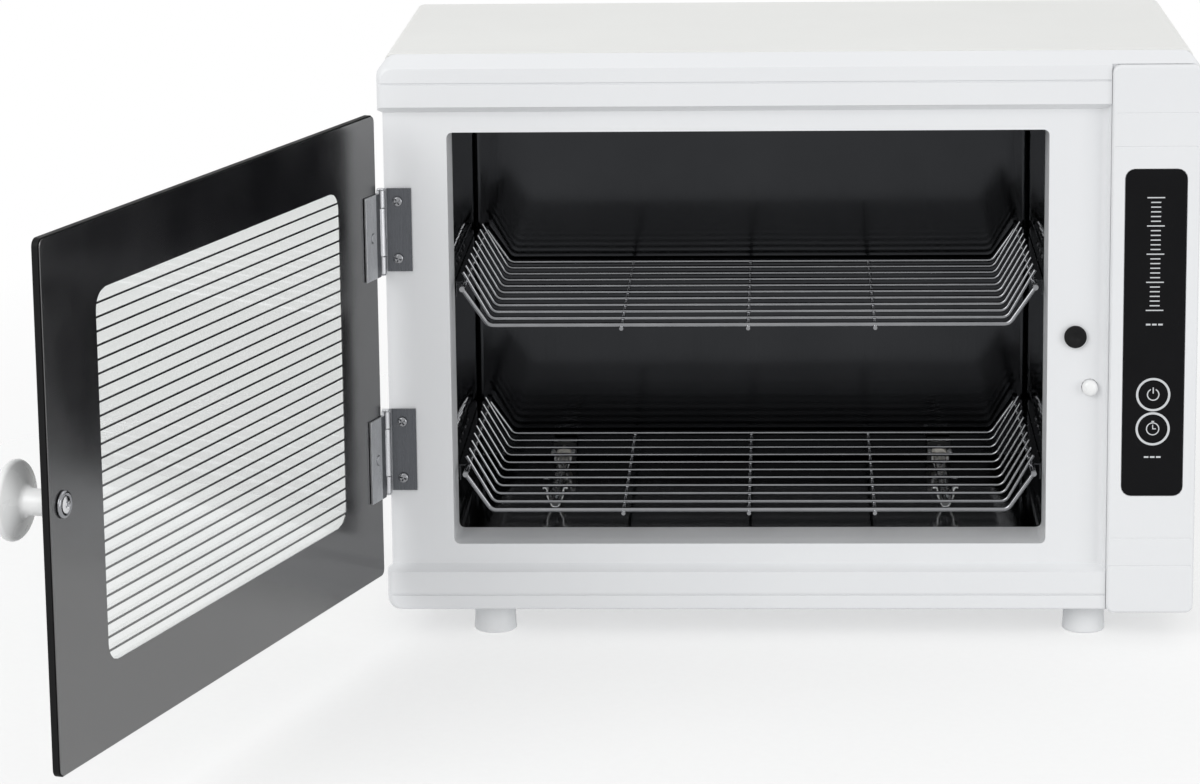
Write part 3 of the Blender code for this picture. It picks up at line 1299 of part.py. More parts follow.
def build_plunger(finish):
    """The door switch's white plunger: a domed pin with a lip that the plate holds back."""
    dome = []
    rise = PLUNGER_DOME_SHARE * PLUNGER_RADIUS
    for step in range(ARC_STEPS + 1):
        angle = math.pi / 2 * (1 - step / ARC_STEPS)
        dome.append((PLUNGER_RADIUS * math.sin(angle), PLUNGER_PROUD - rise + rise * math.cos(angle)))
    lip_front = -FASCIA_WALL - GAP
    lip_back = lip_front - PLUNGER_LIP_SHEET
    profile = [
        (0, lip_back),
        (PLUNGER_RADIUS + PLUNGER_LIP, lip_back),
        (PLUNGER_RADIUS + PLUNGER_LIP, lip_front),
        (PLUNGER_RADIUS, lip_front),
    ] + dome
    bm = bmesh.new()
    add_turned(bm, profile, (0, 0, 0), (0, -1, 0))
    return make_object("switch_plunger", bm, finish, location=(SWITCH_X, depth(RECESS_DEPTH), SWITCH_Z))


def build_switch_body(finish):
    """The door switch's case behind the plate, bored for the plunger's lip and its travel."""
    bore = PLUNGER_RADIUS + PLUNGER_LIP + GAP
    half = bore + SWITCH_WALL
    front = PLATE_BACK + GAP
    bm = bmesh.new()
    low = (SWITCH_X - half, depth(front), SWITCH_Z - half)
    add_box(bm, low, (SWITCH_X + half, depth(front + SWITCH_LENGTH), SWITCH_Z + half))
    body = make_object("door_switch_body", bm, finish)
    cut = bmesh.new()
    floor = front + PLUNGER_LIP_SHEET + PLUNGER_TRAVEL + 2 * GAP
    add_solid(cut, circle(SWITCH_X, SWITCH_Z, bore), "XZ", depth(front - OVERRUN), depth(floor))
    combine(body, "switch_bore", cut)
    return body


def knuckle_outline(sides=SMALL_SIDES):
    return circle(0, 0, BARREL_RADIUS, sides)


def build_cabinet_leaf(name, middle, finish):
    """The hinge half on the cabinet: a flat leaf, cranked forward to its two end knuckles."""
    low = middle - HINGE_HEIGHT / 2
    high = middle + HINGE_HEIGHT / 2
    near = HINGE_Y + LEAF_NEAR
    far = near + LEAF_SHEET
    left = HINGE_X - BARREL_RADIUS
    bm = bmesh.new()
    add_box(bm, (left, near, low), (HINGE_X + LEAF_WIDTH, far, high))
    leaf = make_object(name, bm, finish)
    knuckles = bmesh.new()
    for bottom in (low, high - END_KNUCKLE):
        barrel = [(HINGE_X + u, HINGE_Y + v) for u, v in knuckle_outline()]
        add_solid(knuckles, barrel, "XY", bottom, bottom + END_KNUCKLE)
    combine(leaf, name + "_barrels", knuckles, "UNION")
    arms = bmesh.new()
    for bottom in (low, high - END_KNUCKLE):
        add_box(arms, (left, HINGE_Y, bottom), (left + LEAF_SHEET, far, bottom + END_KNUCKLE))
    combine(leaf, name + "_arms", arms, "UNION")
    cuts = bmesh.new()
    bore = [(HINGE_X + u, HINGE_Y + v) for u, v in circle(0, 0, BARREL_BORE, SMALL_SIDES)]
    add_solid(cuts, bore, "XY", low - OVERRUN, high + OVERRUN)
    for side in (-1, 1):
        z = middle + side * LEAF_SCREW_SPREAD
        hole = circle(HINGE_X + LEAF_SCREW_X, z, SCREW_RADIUS + GAP, SCREW_SIDES)
        add_solid(cuts, hole, "XZ", near - OVERRUN / 2, far + OVERRUN)
    combine(leaf, name + "_cuts", cuts)
    return leaf


def build_hinge_pin(name, middle, finish):
    """A hinge pin with a low head above and below the barrel."""
    half = HINGE_HEIGHT / 2
    profile = (
        (0, -half - GAP - PIN_HEAD),
        (PIN_HEAD_RADIUS - GAP, -half - GAP - PIN_HEAD),
        (PIN_HEAD_RADIUS, -half - GAP - PIN_HEAD / 2),
        (PIN_HEAD_RADIUS, -half - GAP),
        (PIN_RADIUS, -half - GAP),
        (PIN_RADIUS, half + GAP),
        (PIN_HEAD_RADIUS, half + GAP),
        (PIN_HEAD_RADIUS, half + GAP + PIN_HEAD / 2),
        (PIN_HEAD_RADIUS - GAP, half + GAP + PIN_HEAD),
        (0, half + GAP + PIN_HEAD),
    )
    bm = bmesh.new()
    add_turned(bm, profile, (HINGE_X, HINGE_Y, middle))
    return make_object(name, bm, finish)


def build_door_clamp(name, middle, finish, pivot):
    """The hinge half on the door: a channel that grips the pane's edge, on the middle knuckle."""
    low = middle - HINGE_HEIGHT / 2
    high = middle + HINGE_HEIGHT / 2
    web = PANE_LEFT - GAP - LEAF_SHEET
    face = PANE_FACE + GAP
    profile = (
        (web, -face - LEAF_SHEET),
        (CLAMP_END, -face - LEAF_SHEET),
        (CLAMP_END, -face),
        (PANE_LEFT - GAP, -face),
        (PANE_LEFT - GAP, face),
        (CLAMP_END, face),
        (CLAMP_END, face + LEAF_SHEET),
        (web, face + LEAF_SHEET),
    )
    bm = bmesh.new()
    add_solid(bm, profile, "XY", low, high)
    clamp = make_object(name, bm, finish, pivot)
    knuckle_low = low + END_KNUCKLE + KNUCKLE_GAP
    knuckle_high = high - END_KNUCKLE - KNUCKLE_GAP
    arm = bmesh.new()
    half = LEAF_SHEET / 2
    add_box(arm, (BARREL_BORE, -half, knuckle_low), (web + LEAF_SHEET / 2, half, knuckle_high))
    combine(clamp, name + "_arm", arm, "UNION")
    barrel = bmesh.new()
    add_solid(barrel, knuckle_outline(), "XY", knuckle_low, knuckle_high)
    combine(clamp, name + "_barrel", barrel, "UNION")
    cuts = bmesh.new()
    add_solid(cuts, circle(0, 0, BARREL_BORE), "XY", low - OVERRUN, high + OVERRUN)
    hole = circle(CLAMP_SCREW_X, middle, CLAMP_SCREW_RADIUS + GAP)
    add_solid(cuts, hole, "XZ", face - GAP, face + LEAF_SHEET + OVERRUN)
    combine(clamp, name + "_cuts", cuts)
    return clamp


def build_clamp_screw(name, middle, finish, pivot):
    """The set screw in a clamp's inner cheek, which presses on the pane."""
    bm = bmesh.new()
    face = PANE_FACE + GAP
    outline = circle(CLAMP_SCREW_X, middle, CLAMP_SCREW_RADIUS)
    add_solid(bm, outline, "XZ", face, face + LEAF_SHEET + CLAMP_SCREW_PROUD)
    return make_object(name, bm, finish, pivot)


def build_pane(finish, pivot):
    """The door's glass, with round corners and the knob's hole."""
    bm = bmesh.new()
    outline = rounded_outline(PANE_LEFT, PANE_RIGHT, PANE_BOTTOM, PANE_TOP, PANE_RADIUS)
    add_solid(bm, outline, "XZ", -PANE_FACE, -PANE_FACE + GLASS_SHEET)
    pane = make_object("door_glass", bm, finish, pivot)
    hole = bmesh.new()
    add_solid(hole, circle(KNOB_X, KNOB_Z, KNOB_BORE), "XZ", -2 * PANE_FACE, 2 * PANE_FACE)
    combine(pane, "pane_hole", hole)
    return pane


def build_print(finish, pivot):
    """The black border on the pane's inner face, with fine lines across its window."""
    margin = PRINT_MARGIN
    bm = bmesh.new()
    low = PANE_BOTTOM + margin
    high = PANE_TOP - margin
    outline = rounded_outline(PANE_LEFT + margin, PANE_RIGHT - margin, low, high, PANE_RADIUS - margin)
    add_solid(bm, outline, "XZ", PANE_FACE - PRINT_SHEET, PANE_FACE)
    border = make_object("door_border", bm, finish, pivot)
    slots = bmesh.new()
    height = WINDOW_TOP - WINDOW_BOTTOM
    pitch = (height + WINDOW_LINE_HEIGHT) / (WINDOW_LINES + 1)
    for row in range(WINDOW_LINES + 1):
        bottom = WINDOW_BOTTOM + row * pitch
        top = bottom + pitch - WINDOW_LINE_HEIGHT
        slot = window_slot(bottom, top)
        add_solid(slots, slot, "XZ", PANE_FACE - PRINT_SHEET - OVERRUN, PANE_FACE + OVERRUN)
    combine(border, "window_slots", slots)
    hole = bmesh.new()
    add_solid(hole, circle(KNOB_X, KNOB_Z, KNOB_BORE), "XZ", 0, 2 * PANE_FACE)
    combine(border, "border_hole", hole)
    return border


def window_inset(z):
    """How far the window's round corners draw its sides in at this height."""
    into = max(WINDOW_BOTTOM + WINDOW_RADIUS - z, z - WINDOW_TOP + WINDOW_RADIUS, 0)
    return WINDOW_RADIUS - math.sqrt(max(WINDOW_RADIUS**2 - into**2, 0))


def window_slot(bottom, top):
    levels = [bottom, top]
    if max(window_inset(bottom), window_inset(top)) > 0:
        levels = [bottom + (top - bottom) * step / ARC_STEPS for step in range(ARC_STEPS + 1)]
    right = [(WINDOW_RIGHT - window_inset(z), z) for z in levels]
    left = [(WINDOW_LEFT + window_inset(z), z) for z in reversed(levels)]
    return right + left


def knob_profile():
    """Half the knob's outline: a low dome, a rounded edge, a back slanting to the waist, and the bore."""
    rim = KNOB_RADIUS - KNOB_EDGE_ROUND
    tilt = math.atan(2 * KNOB_DOME / rim)
    reach = rim + KNOB_EDGE_ROUND * math.sin(tilt)
    level = KNOB_HEIGHT - KNOB_DOME - KNOB_EDGE_ROUND * math.cos(tilt)
    profile = []
    for step in range(ARC_STEPS):
        share = step / ARC_STEPS
        profile.append((reach * share, KNOB_HEIGHT - KNOB_DOME * share**2))
    back = level - KNOB_EDGE_ROUND - KNOB_BACK_SLANT
    waist = KNOB_STEM_RADIUS + KNOB_NECK_ROUND
    lean = math.atan2(KNOB_BACK_SLANT, rim - waist)
    start_deg = 90 - math.degrees(tilt)
    profile += arc((rim, level), KNOB_EDGE_ROUND, start_deg, -90 + math.degrees(lean), KNOB_EDGE_STEPS)
    profile += arc((waist, back - KNOB_NECK_ROUND), KNOB_NECK_ROUND, 90 + math.degrees(lean), 180)
    profile += [(KNOB_STEM_RADIUS, GAP), (KNOB_BORE, GAP)]
    profile += [(KNOB_BORE, KNOB_HEIGHT - KNOB_BORE_FLOOR), (0, KNOB_HEIGHT - KNOB_BORE_FLOOR)]
    return profile


def build_knob(finish, pivot):
    """The mushroom knob outside the pane: a slim stem that flares into a thin round head."""
    bm = bmesh.new()
    add_turned(bm, knob_profile(), (0, 0, 0), (0, -1, 0), ROUND_SIDES)
    return make_object("door_knob", bm, finish, pivot, (KNOB_X, -PANE_FACE, KNOB_Z))


def build_washer(finish, pivot):
    """The cup washer on the door's inner side, with a countersink for the knob's screw."""
    near = PANE_FACE + GAP
    profile = (
        (KNOB_BORE, near),
        (WASHER_RADIUS, near),
        (WASHER_RADIUS - WASHER_HEIGHT / 2, WASHER_TOP),
        (WASHER_CUP_RADIUS, WASHER_TOP),
        (KNOB_BORE, near + WASHER_CUP_FLOOR),
        (KNOB_BORE, near),
    )
    bm = bmesh.new()
    add_turned(bm, profile, (KNOB_X, 0, KNOB_Z), (0, 1, 0), ROUND_SIDES)
    return make_object("knob_washer", bm, finish, pivot)


def build_knob_screw(finish, pivot):
    """The screw that holds the knob: its raised countersunk head meets the catch magnet."""
    lift = GAP * math.hypot(1, CUP_SLOPE) / CUP_SLOPE
    cone = PANE_FACE + GAP + WASHER_CUP_FLOOR + lift - (KNOB_BORE - KNOB_SCREW_RADIUS) / CUP_SLOPE
    head = WASHER_CUP_RADIUS - lift * CUP_SLOPE
    end = WASHER_TOP - KNOB_SCREW_LENGTH
    profile = [(0, end), (KNOB_SCREW_RADIUS, end), (KNOB_SCREW_RADIUS, cone)]
    for step in range(ARC_STEPS + 1):
        share = 1 - step / ARC_STEPS
        profile.append((head * share, WASHER_TOP + STRIKE_DOME * (1 - share**2)))
    bm = bmesh.new()
    add_turned(bm, profile, (KNOB_X, 0, KNOB_Z), (0, 1, 0))
    return make_object("knob_screw", bm, finish, pivot)


def main():
    for old in list(bpy.data.objects):
        bpy.data.objects.remove(old)
    paint = make_material("white_powder_coat", (0.80, 0.80, 0.79), 0.45)
    moulding = make_material("pale_grey_moulding", (0.72, 0.73, 0.74), 0.40)
    polished = make_material("polished_steel", (0.60, 0.60, 0.61), 0.08, 1.0)
    chrome = make_material("chromed_wire", (0.85, 0.85, 0.86), 0.12, 1.0)
    zinc = make_material("zinc_sheet", (0.55, 0.56, 0.57), 0.38, 1.0)
    satin = make_material("satin_hinge_steel", (0.42, 0.42, 0.43), 0.32, 1.0)
    black_gloss = make_material("black_gloss_panel", (0.012, 0.012, 0.014), 0.15)
    black_print = make_material("black_enamel", (0.010, 0.010, 0.012), 0.25)
    glass = make_material("clear_glass", (0.92, 0.95, 0.94), 0.02, 0.0, 1.0)
    quartz = make_material("clear_quartz", (0.95, 0.96, 0.98), 0.02, 0.0, 1.0)
    white_plastic = make_material("white_plastic", (0.84, 0.84, 0.83), 0.30)
    black_plastic = make_material("black_plastic", (0.03, 0.03, 0.03), 0.50)
    rubber = make_material("grey_rubber", (0.46, 0.47, 0.48), 0.75)
    magnet = make_material("black_ferrite", (0.02, 0.02, 0.02), 0.55)
    board = make_material("green_laminate", (0.03, 0.16, 0.07), 0.45)
    cable = make_material("white_cable", (0.75, 0.75, 0.73), 0.50)

    build_shell(paint)
    build_base_pan(zinc)
    build_back_panel(paint)
    build_fascia(moulding)
    build_control_bezel(moulding)
    build_control_panel(black_gloss)
    for name in KEY_HEIGHTS:
        build_key(name, black_gloss)
    build_control_board(board)
    build_liner(polished)
    for shelf in SHELF_FLOOR_HEIGHTS:
        build_shelf(shelf, chrome)
        level = shelf.split("_")[0]
        build_rail(f"{level}_rail_left", -1, shelf, polished)
        build_rail(f"{level}_rail_right", 1, shelf, polished)
    for side, x in zip(("left", "right"), lamp_places()):
        build_lamp(f"uv_lamp_{side}", x, quartz)
        build_socket(f"lamp_socket_{side}", x, black_plastic)
        build_lamp_clip(f"lamp_clip_front_{side}", x, CLIP_FRONT_DEPTH, chrome)
        build_lamp_clip(f"lamp_clip_back_{side}", x, CLIP_BACK_DEPTH, chrome)
    build_ballast(black_plastic)
    ear_top = PAN_SHEET + GAP + BALLAST_EAR_SHEET
    build_screw("ballast_screw", (*ballast_screw_place(), ear_top), (0, 0, 1), zinc, ear_top)
    build_loom(cable)
    build_gland(black_plastic)

    well = FOOT_WELL_DEPTH - FOOT_HEIGHT
    for name, place in foot_places().items():
        build_foot(name, place, rubber)
        screw = name.replace("foot", "foot_screw")
        build_screw(screw, (*place, well), (0, 0, -1), zinc, PAN_SHEET - well)
    for name, place in side_screw_places().items():
        build_screw(name, place, (math.copysign(1, place[0]), 0, 0), zinc, SCREW_LENGTH / 2)

    build_magnet(magnet)
    build_switch_body(black_plastic)
    build_plunger(white_plastic)

    pivot = make_pivot("door_hinge_axis", (HINGE_X, HINGE_Y, 0), -math.radians(DOOR_OPEN_DEG))
    for level, middle in HINGE_HEIGHTS.items():
        build_cabinet_leaf(f"hinge_leaf_{level}", middle, satin)
        build_hinge_pin(f"hinge_pin_{level}", middle, satin)
        build_door_clamp(f"door_clamp_{level}", middle, satin, pivot)
        build_clamp_screw(f"clamp_screw_{level}", middle, satin, pivot)
    leaf_face = HINGE_Y + LEAF_NEAR
    ends = [f"hinge_screw_{level}_{end}" for level in HINGE_HEIGHTS for end in ("top", "bottom")]
    for name, (x, z) in zip(ends, leaf_screw_places()):
        build_screw(name, (x, leaf_face, z), (0, -1, 0), chrome)
    build_pane(glass, pivot)
    build_print(black_print, pivot)
    build_knob(white_plastic, pivot)
    build_washer(chrome, pivot)
    build_knob_screw(chrome, pivot)


main()
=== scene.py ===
"""Finishes, fine shapes, light and camera for the ultraviolet sterilizer cabinet.

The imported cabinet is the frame. Sheet and moulded pieces are copied from it, with their edges eased as
folding, stamping and moulding leave them. Wires, screws, springs, knob and feet are made anew, rounder
than the frame has them. Metres throughout, front towards -Y."""

import json
import math

import bmesh
import bpy
from mathutils import Matrix, Vector

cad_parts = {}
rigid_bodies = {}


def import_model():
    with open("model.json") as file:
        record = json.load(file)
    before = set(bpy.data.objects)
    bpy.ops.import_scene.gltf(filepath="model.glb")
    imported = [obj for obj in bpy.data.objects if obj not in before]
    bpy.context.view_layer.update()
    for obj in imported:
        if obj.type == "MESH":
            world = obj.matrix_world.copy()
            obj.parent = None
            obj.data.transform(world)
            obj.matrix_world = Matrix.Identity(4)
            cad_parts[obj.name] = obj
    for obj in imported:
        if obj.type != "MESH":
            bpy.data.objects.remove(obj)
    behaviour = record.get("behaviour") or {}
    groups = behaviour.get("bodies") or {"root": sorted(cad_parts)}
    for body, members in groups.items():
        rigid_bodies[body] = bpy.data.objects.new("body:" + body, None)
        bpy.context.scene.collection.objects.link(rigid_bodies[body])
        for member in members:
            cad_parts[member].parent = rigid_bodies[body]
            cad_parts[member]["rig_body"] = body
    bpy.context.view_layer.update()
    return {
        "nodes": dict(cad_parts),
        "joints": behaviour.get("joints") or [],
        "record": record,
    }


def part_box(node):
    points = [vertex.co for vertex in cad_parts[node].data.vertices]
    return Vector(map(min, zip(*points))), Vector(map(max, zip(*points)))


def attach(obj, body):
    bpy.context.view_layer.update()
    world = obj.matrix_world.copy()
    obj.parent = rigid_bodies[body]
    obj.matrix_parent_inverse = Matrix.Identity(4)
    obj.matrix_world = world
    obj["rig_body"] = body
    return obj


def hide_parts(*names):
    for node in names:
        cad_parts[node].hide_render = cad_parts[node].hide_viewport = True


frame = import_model()

MM = 0.001
MERGE_DISTANCE = 0.001 * MM
UPRIGHT = Matrix.Rotation(math.radians(90), 4, "X")

# Wire shelves
WIRE_RADIUS = 1.0 * MM
FRAME_WIRE_RADIUS = 1.3 * MM
RIM_WIRE_RADIUS = 1.5 * MM
CROSS_WIRE_RADIUS = 1.1 * MM
WELD_SINK = 0.4 * MM
RIM_BEAD_SHARE = 1.1
CROSS_BEAD_SHARE = 1.12
BEAD_FLATNESS = 0.8
SHELF_OVERHANG = 2.0 * MM
SHELF_RISE = 25.5 * MM
SHELF_RUN = 14.6 * MM
RIM_HEIGHT_SHARE = 0.82
SHELF_BEND_RADIUS = 5.0 * MM
SHELF_WIRES = 11
CROSS_WIRE_PITCH = 67.5 * MM
BEND_STEPS = 8

# Door and hinges: the bands are stretches of the hinge strips, measured from the pin outwards, with painted
# shade on the clamp's band and a painted highlight on the leaf's knuckle
OPEN_DEG = 108.05
CLAMP_PAINTED_SHADE_BAND = (3.4 * MM, 14.0 * MM)
LEAF_PAINTED_HIGHLIGHT_BAND = (-6.0 * MM, 2.4 * MM)
PAINTED_BAND_FADE = 0.3 * MM
PANE_RADIUS = 4.0 * MM
EDGE_PAINT = 1.1 * MM
PAINT_GAP = 0.01 * MM
BACKING_GAP = 0.06 * MM
BACKING_THICKNESS = 0.04 * MM

# Door knob, its cup washer and its screw
KNOB_DOME = 2.6 * MM
KNOB_DOME_STEPS = 12
KNOB_EDGE_ROUND = 2.2 * MM
KNOB_BACK_SLANT = 3.0 * MM
KNOB_NECK_ROUND = 3.0 * MM
KNOB_STEM_RADIUS = 6.2 * MM
KNOB_STEM_CHAMFER = 0.3 * MM
WASHER_ROLL = 1.25 * MM
WASHER_THROAT = 0.3 * MM
CUP_RADIUS = 4.75 * MM
CUP_STEP = 0.12 * MM
SCREW_BORE = 2.3 * MM
SCREW_SHANK = 2.0 * MM
COUNTERSINK = 1.05 * MM
SCREW_DOME_STEPS = 8
KNOB_CROSS_WIDTH = 0.56
KNOB_CROSS_DEPTH = 1.0 * MM
KNOB_SCREW_TURN_DEG = 28

# Pan-head screws: widths are shares of the head's radius, rises are shares of its dome's height
SCREW_HEAD = 1.5 * MM
SHANK_WIDTH = 0.55
SHANK_TIP_SHARE = 0.7
SHANK_TIP_START = 0.9
HEAD_SEAT_WIDTH = 0.94
HEAD_SEAT_RISE = 0.12
HEAD_SIDE_RISE = 0.4
HEAD_FLAT_WIDTH = 0.62
HEAD_CROWN_RISE = 1.04
CROSS_WIDTH = 0.68
CROSS_DEPTH = 0.95
CROSS_START_RISE = 1.2
CROSS_ARM_SHARE = 0.7
CROSS_TAPER = 0.62

# Chamber: its middle and half its width, and how far in front of a side wall the painted reflection (a
# paler, clearer mirror) fades
CHAMBER_X = -21.1 * MM
CHAMBER_HALF = 158.0 * MM
PAINTED_REFLECTION_FADE = (0.8 * MM, 0.3 * MM)
FLANGE_SKIN = 0.1 * MM
FLANGE_PULL = 0.27 * MM

# Lamps and their springs
LAMP_RADIUS = 3.5 * MM
LAMP_WALL = 0.6 * MM
LAMP_BASE_RADIUS = 4.5 * MM
LAMP_BASE_LENGTH = 8.0 * MM
LEAD_OFFSET = 1.1 * MM
LEAD_RADIUS = 0.28 * MM
SHORT_LEAD = 14.0 * MM
LONG_LEAD_LACK = 9.0 * MM
COIL_WIRE_RADIUS = 0.16 * MM
COIL_RADIUS = 0.75 * MM
COIL_WIDTH_SHARE = 0.9
COIL_STEP = 0.11 * MM
COIL_STEPS_A_TURN = 10
COIL_TURNS = 6
SPRING_SHEET = 0.7 * MM
SPRING_HALF_MM = [
    (0.7, 0.0), (1.6, 0.5), (2.6, 2.8), (4.15, 6.4), (4.0, 8.6), (4.8, 10.3), (6.1, 10.9), (7.0, 10.2)
]

# Feet
FOOT_WELL_RADIUS = 5.5 * MM
FOOT_WELL_DEPTH = 10.0 * MM
FOOT_WELL_ROUND = 0.5 * MM
FOOT_RING = (8.1 * MM, 8.7 * MM)
FOOT_RING_SLOPE = 0.1 * MM
FOOT_RING_DEPTH = 0.25 * MM
FOOT_EDGE_ROUND = 1.5 * MM

# Catch and door switch
CATCH_SHANK_RADIUS = 4.2 * MM
CATCH_HEAD = 2.1 * MM
CATCH_CHAMFER = 0.1 * MM
CATCH_EDGE_ROUND = 0.4 * MM
CATCH_DIMPLE = 0.25 * MM
PIN_RADIUS = 4.2 * MM
PIN_DOME = 2.1 * MM
PIN_LIP = 0.8 * MM

# Control panel
KEY_LIP = 0.8 * MM
KEY_SHEET = 1.1 * MM
KEY_STEM_RADIUS = 2.6 * MM
KEY_EDGE_ROUND = 0.35 * MM
KEY_DISH = ((0.6, 0.06 * MM), (0.3, 0.1 * MM), (0.0, 0.11 * MM))
RING_OUTER = 9.0 * MM
RING_INNER = 7.8 * MM
INK_THICKNESS = 0.06 * MM
INK_SINK = 0.03 * MM
SCALE_DROP = 15.0 * MM
TICKS = 25
TICK_PITCH = 2.5 * MM
LONG_TICK_EVERY = 6
LONG_TICK = 4.6 * MM
SHORT_TICK = 2.6 * MM
TICK_HALF_HEIGHT = 0.3 * MM
DASH_ROWS = (92.5 * MM, 21.0 * MM)
DASH_PITCH = 3.2 * MM
DASH_HALF = 1.2 * MM
DASH_HALF_HEIGHT = 0.45 * MM

# Camera, fitted to the photograph's corners and edges, and the middle that the softboxes aim at
CAMERA_PLACE = (-0.001254, -2.226992, 0.601542)
CAMERA_YAW, CAMERA_PITCH, CAMERA_ROLL = 0.04609, -0.20821, -0.0124
FOCAL_PIXELS = 4109.64
PHOTO_WIDTH = 1200
SENSOR_WIDTH = 36
CAMERA_SHIFT_Y = -0.05
CABINET_MIDDLE = Vector((0, 0, 0.14))

# Door pieces are shaped with the door shut, x from the hinge and y towards the cabinet, then turned open.
hinge_place = next(joint["pos_m"] for joint in frame["joints"] if joint["name"] == "door_hinge")
HINGE = Vector((hinge_place[0], hinge_place[1], 0))
DOOR_PLACE = Matrix.Translation(HINGE) @ Matrix.Rotation(-math.radians(OPEN_DEG), 4, "Z")


def linear(code):
    """The linear colour that shaders take, from an sRGB hex value."""
    parts = [int(code[i : i + 2], 16) / 255 for i in (1, 3, 5)]
    return tuple(v / 12.92 if v <= 0.04045 else ((v + 0.055) / 1.055) ** 2.4 for v in parts) + (1.0,)


def add(tree, kind, settings=None, links=None):
    """Adds a shader node, gives it properties and socket values, and links sockets to other outputs."""
    made = tree.nodes.new(kind)
    for key, value in (settings or {}).items():
        if isinstance(key, str) and hasattr(made, key):
            setattr(made, key, value)
        else:
            made.inputs[key].default_value = value
    for key, source in (links or {}).items():
        tree.links.new(source, made.inputs[key])
    return made


def start_finish(name, colour, plain):
    """A material with its shader's plain values, and the place on the object that its patterns read."""
    material = bpy.data.materials.new(name)
    material.use_nodes = True
    tree = material.node_tree
    shader = tree.nodes["Principled BSDF"]
    shader.inputs["Base Color"].default_value = linear(colour)
    for socket, value in plain.items():
        shader.inputs[socket].default_value = value
    material.diffuse_color = linear(colour)
    place = add(tree, "ShaderNodeTexCoord").outputs["Object"]
    return material, tree, shader, place


def shades(tree, share, dark, light):
    """The colour between two near shades that a pattern calls for."""
    blend = add(tree, "ShaderNodeMix", {"data_type": "RGBA", 6: linear(dark), 7: linear(light)}, {0: share})
    return blend.outputs[2]


def noise_size(size_mm, detail):
    """A noise pattern's settings for patches of a real size."""
    return {"Scale": 1 / (size_mm * MM), "Detail": detail}


def mottle(tree, shader, place, dark, light, size_mm):
    """Slow colour drift between two near shades, in patches of a real size."""
    patches = add(tree, "ShaderNodeTexNoise", noise_size(size_mm, 3.0), {"Vector": place})
    tree.links.new(shades(tree, patches.outputs[0], dark, light), shader.inputs["Base Color"])
    return patches.outputs[0]


def gloss_range(tree, shader, source, least, most):
    """Roughness that follows a pattern between two values."""
    spread = add(tree, "ShaderNodeMapRange", {1: 0.3, 2: 0.7, 3: least, 4: most}, {0: source})
    tree.links.new(spread.outputs[0], shader.inputs["Roughness"])


def relief(tree, shader, source, height_mm, below=None):
    """Surface relief of a real height, on top of another relief if there is one."""
    links = {"Height": source}
    if below is not None:
        links["Normal"] = below
    bump = add(tree, "ShaderNodeBump", {"Strength": 1.0, "Distance": height_mm * MM}, links)
    tree.links.new(bump.outputs[0], shader.inputs["Normal"])
    return bump.outputs[0]


def powder_coat():
    """Baked polyester powder on steel: an even satin white with a shallow orange peel 2 mm across."""
    material, tree, shader, place = start_finish(
        "powder_coat", "#F1F1EE", {"Roughness": 0.42, "IOR": 1.5, "Specular IOR Level": 0.25}
    )
    mottle(tree, shader, place, "#EAEAE7", "#F1F1EE", 90)
    peel = add(tree, "ShaderNodeTexNoise", noise_size(2.2, 1.5), {"Vector": place})
    fine = add(tree, "ShaderNodeTexNoise", noise_size(0.5, 2.0), {"Vector": place})
    gloss_range(tree, shader, fine.outputs[0], 0.36, 0.48)
    base = relief(tree, shader, peel.outputs[0], 0.05)
    relief(tree, shader, fine.outputs[0], 0.012, base)
    return material


def moulded_abs():
    """Injection-moulded ABS: cool pale grey, spark-eroded grain drawn at 0.6 mm so that it shows."""
    material, tree, shader, place = start_finish("moulded_abs", "#E5E6E8", {"Roughness": 0.38, "IOR": 1.53})
    mottle(tree, shader, place, "#E2E3E5", "#E8E9EA", 120)
    dimples = {"Scale": 1 / (0.6 * MM), "feature": "SMOOTH_F1"}
    grain = add(tree, "ShaderNodeTexVoronoi", dimples, {"Vector": place})
    flow = add(tree, "ShaderNodeTexNoise", noise_size(35, 2.0), {"Vector": place})
    gloss_range(tree, shader, flow.outputs[0], 0.32, 0.42)
    relief(tree, shader, grain.outputs[0], 0.02)
    return material


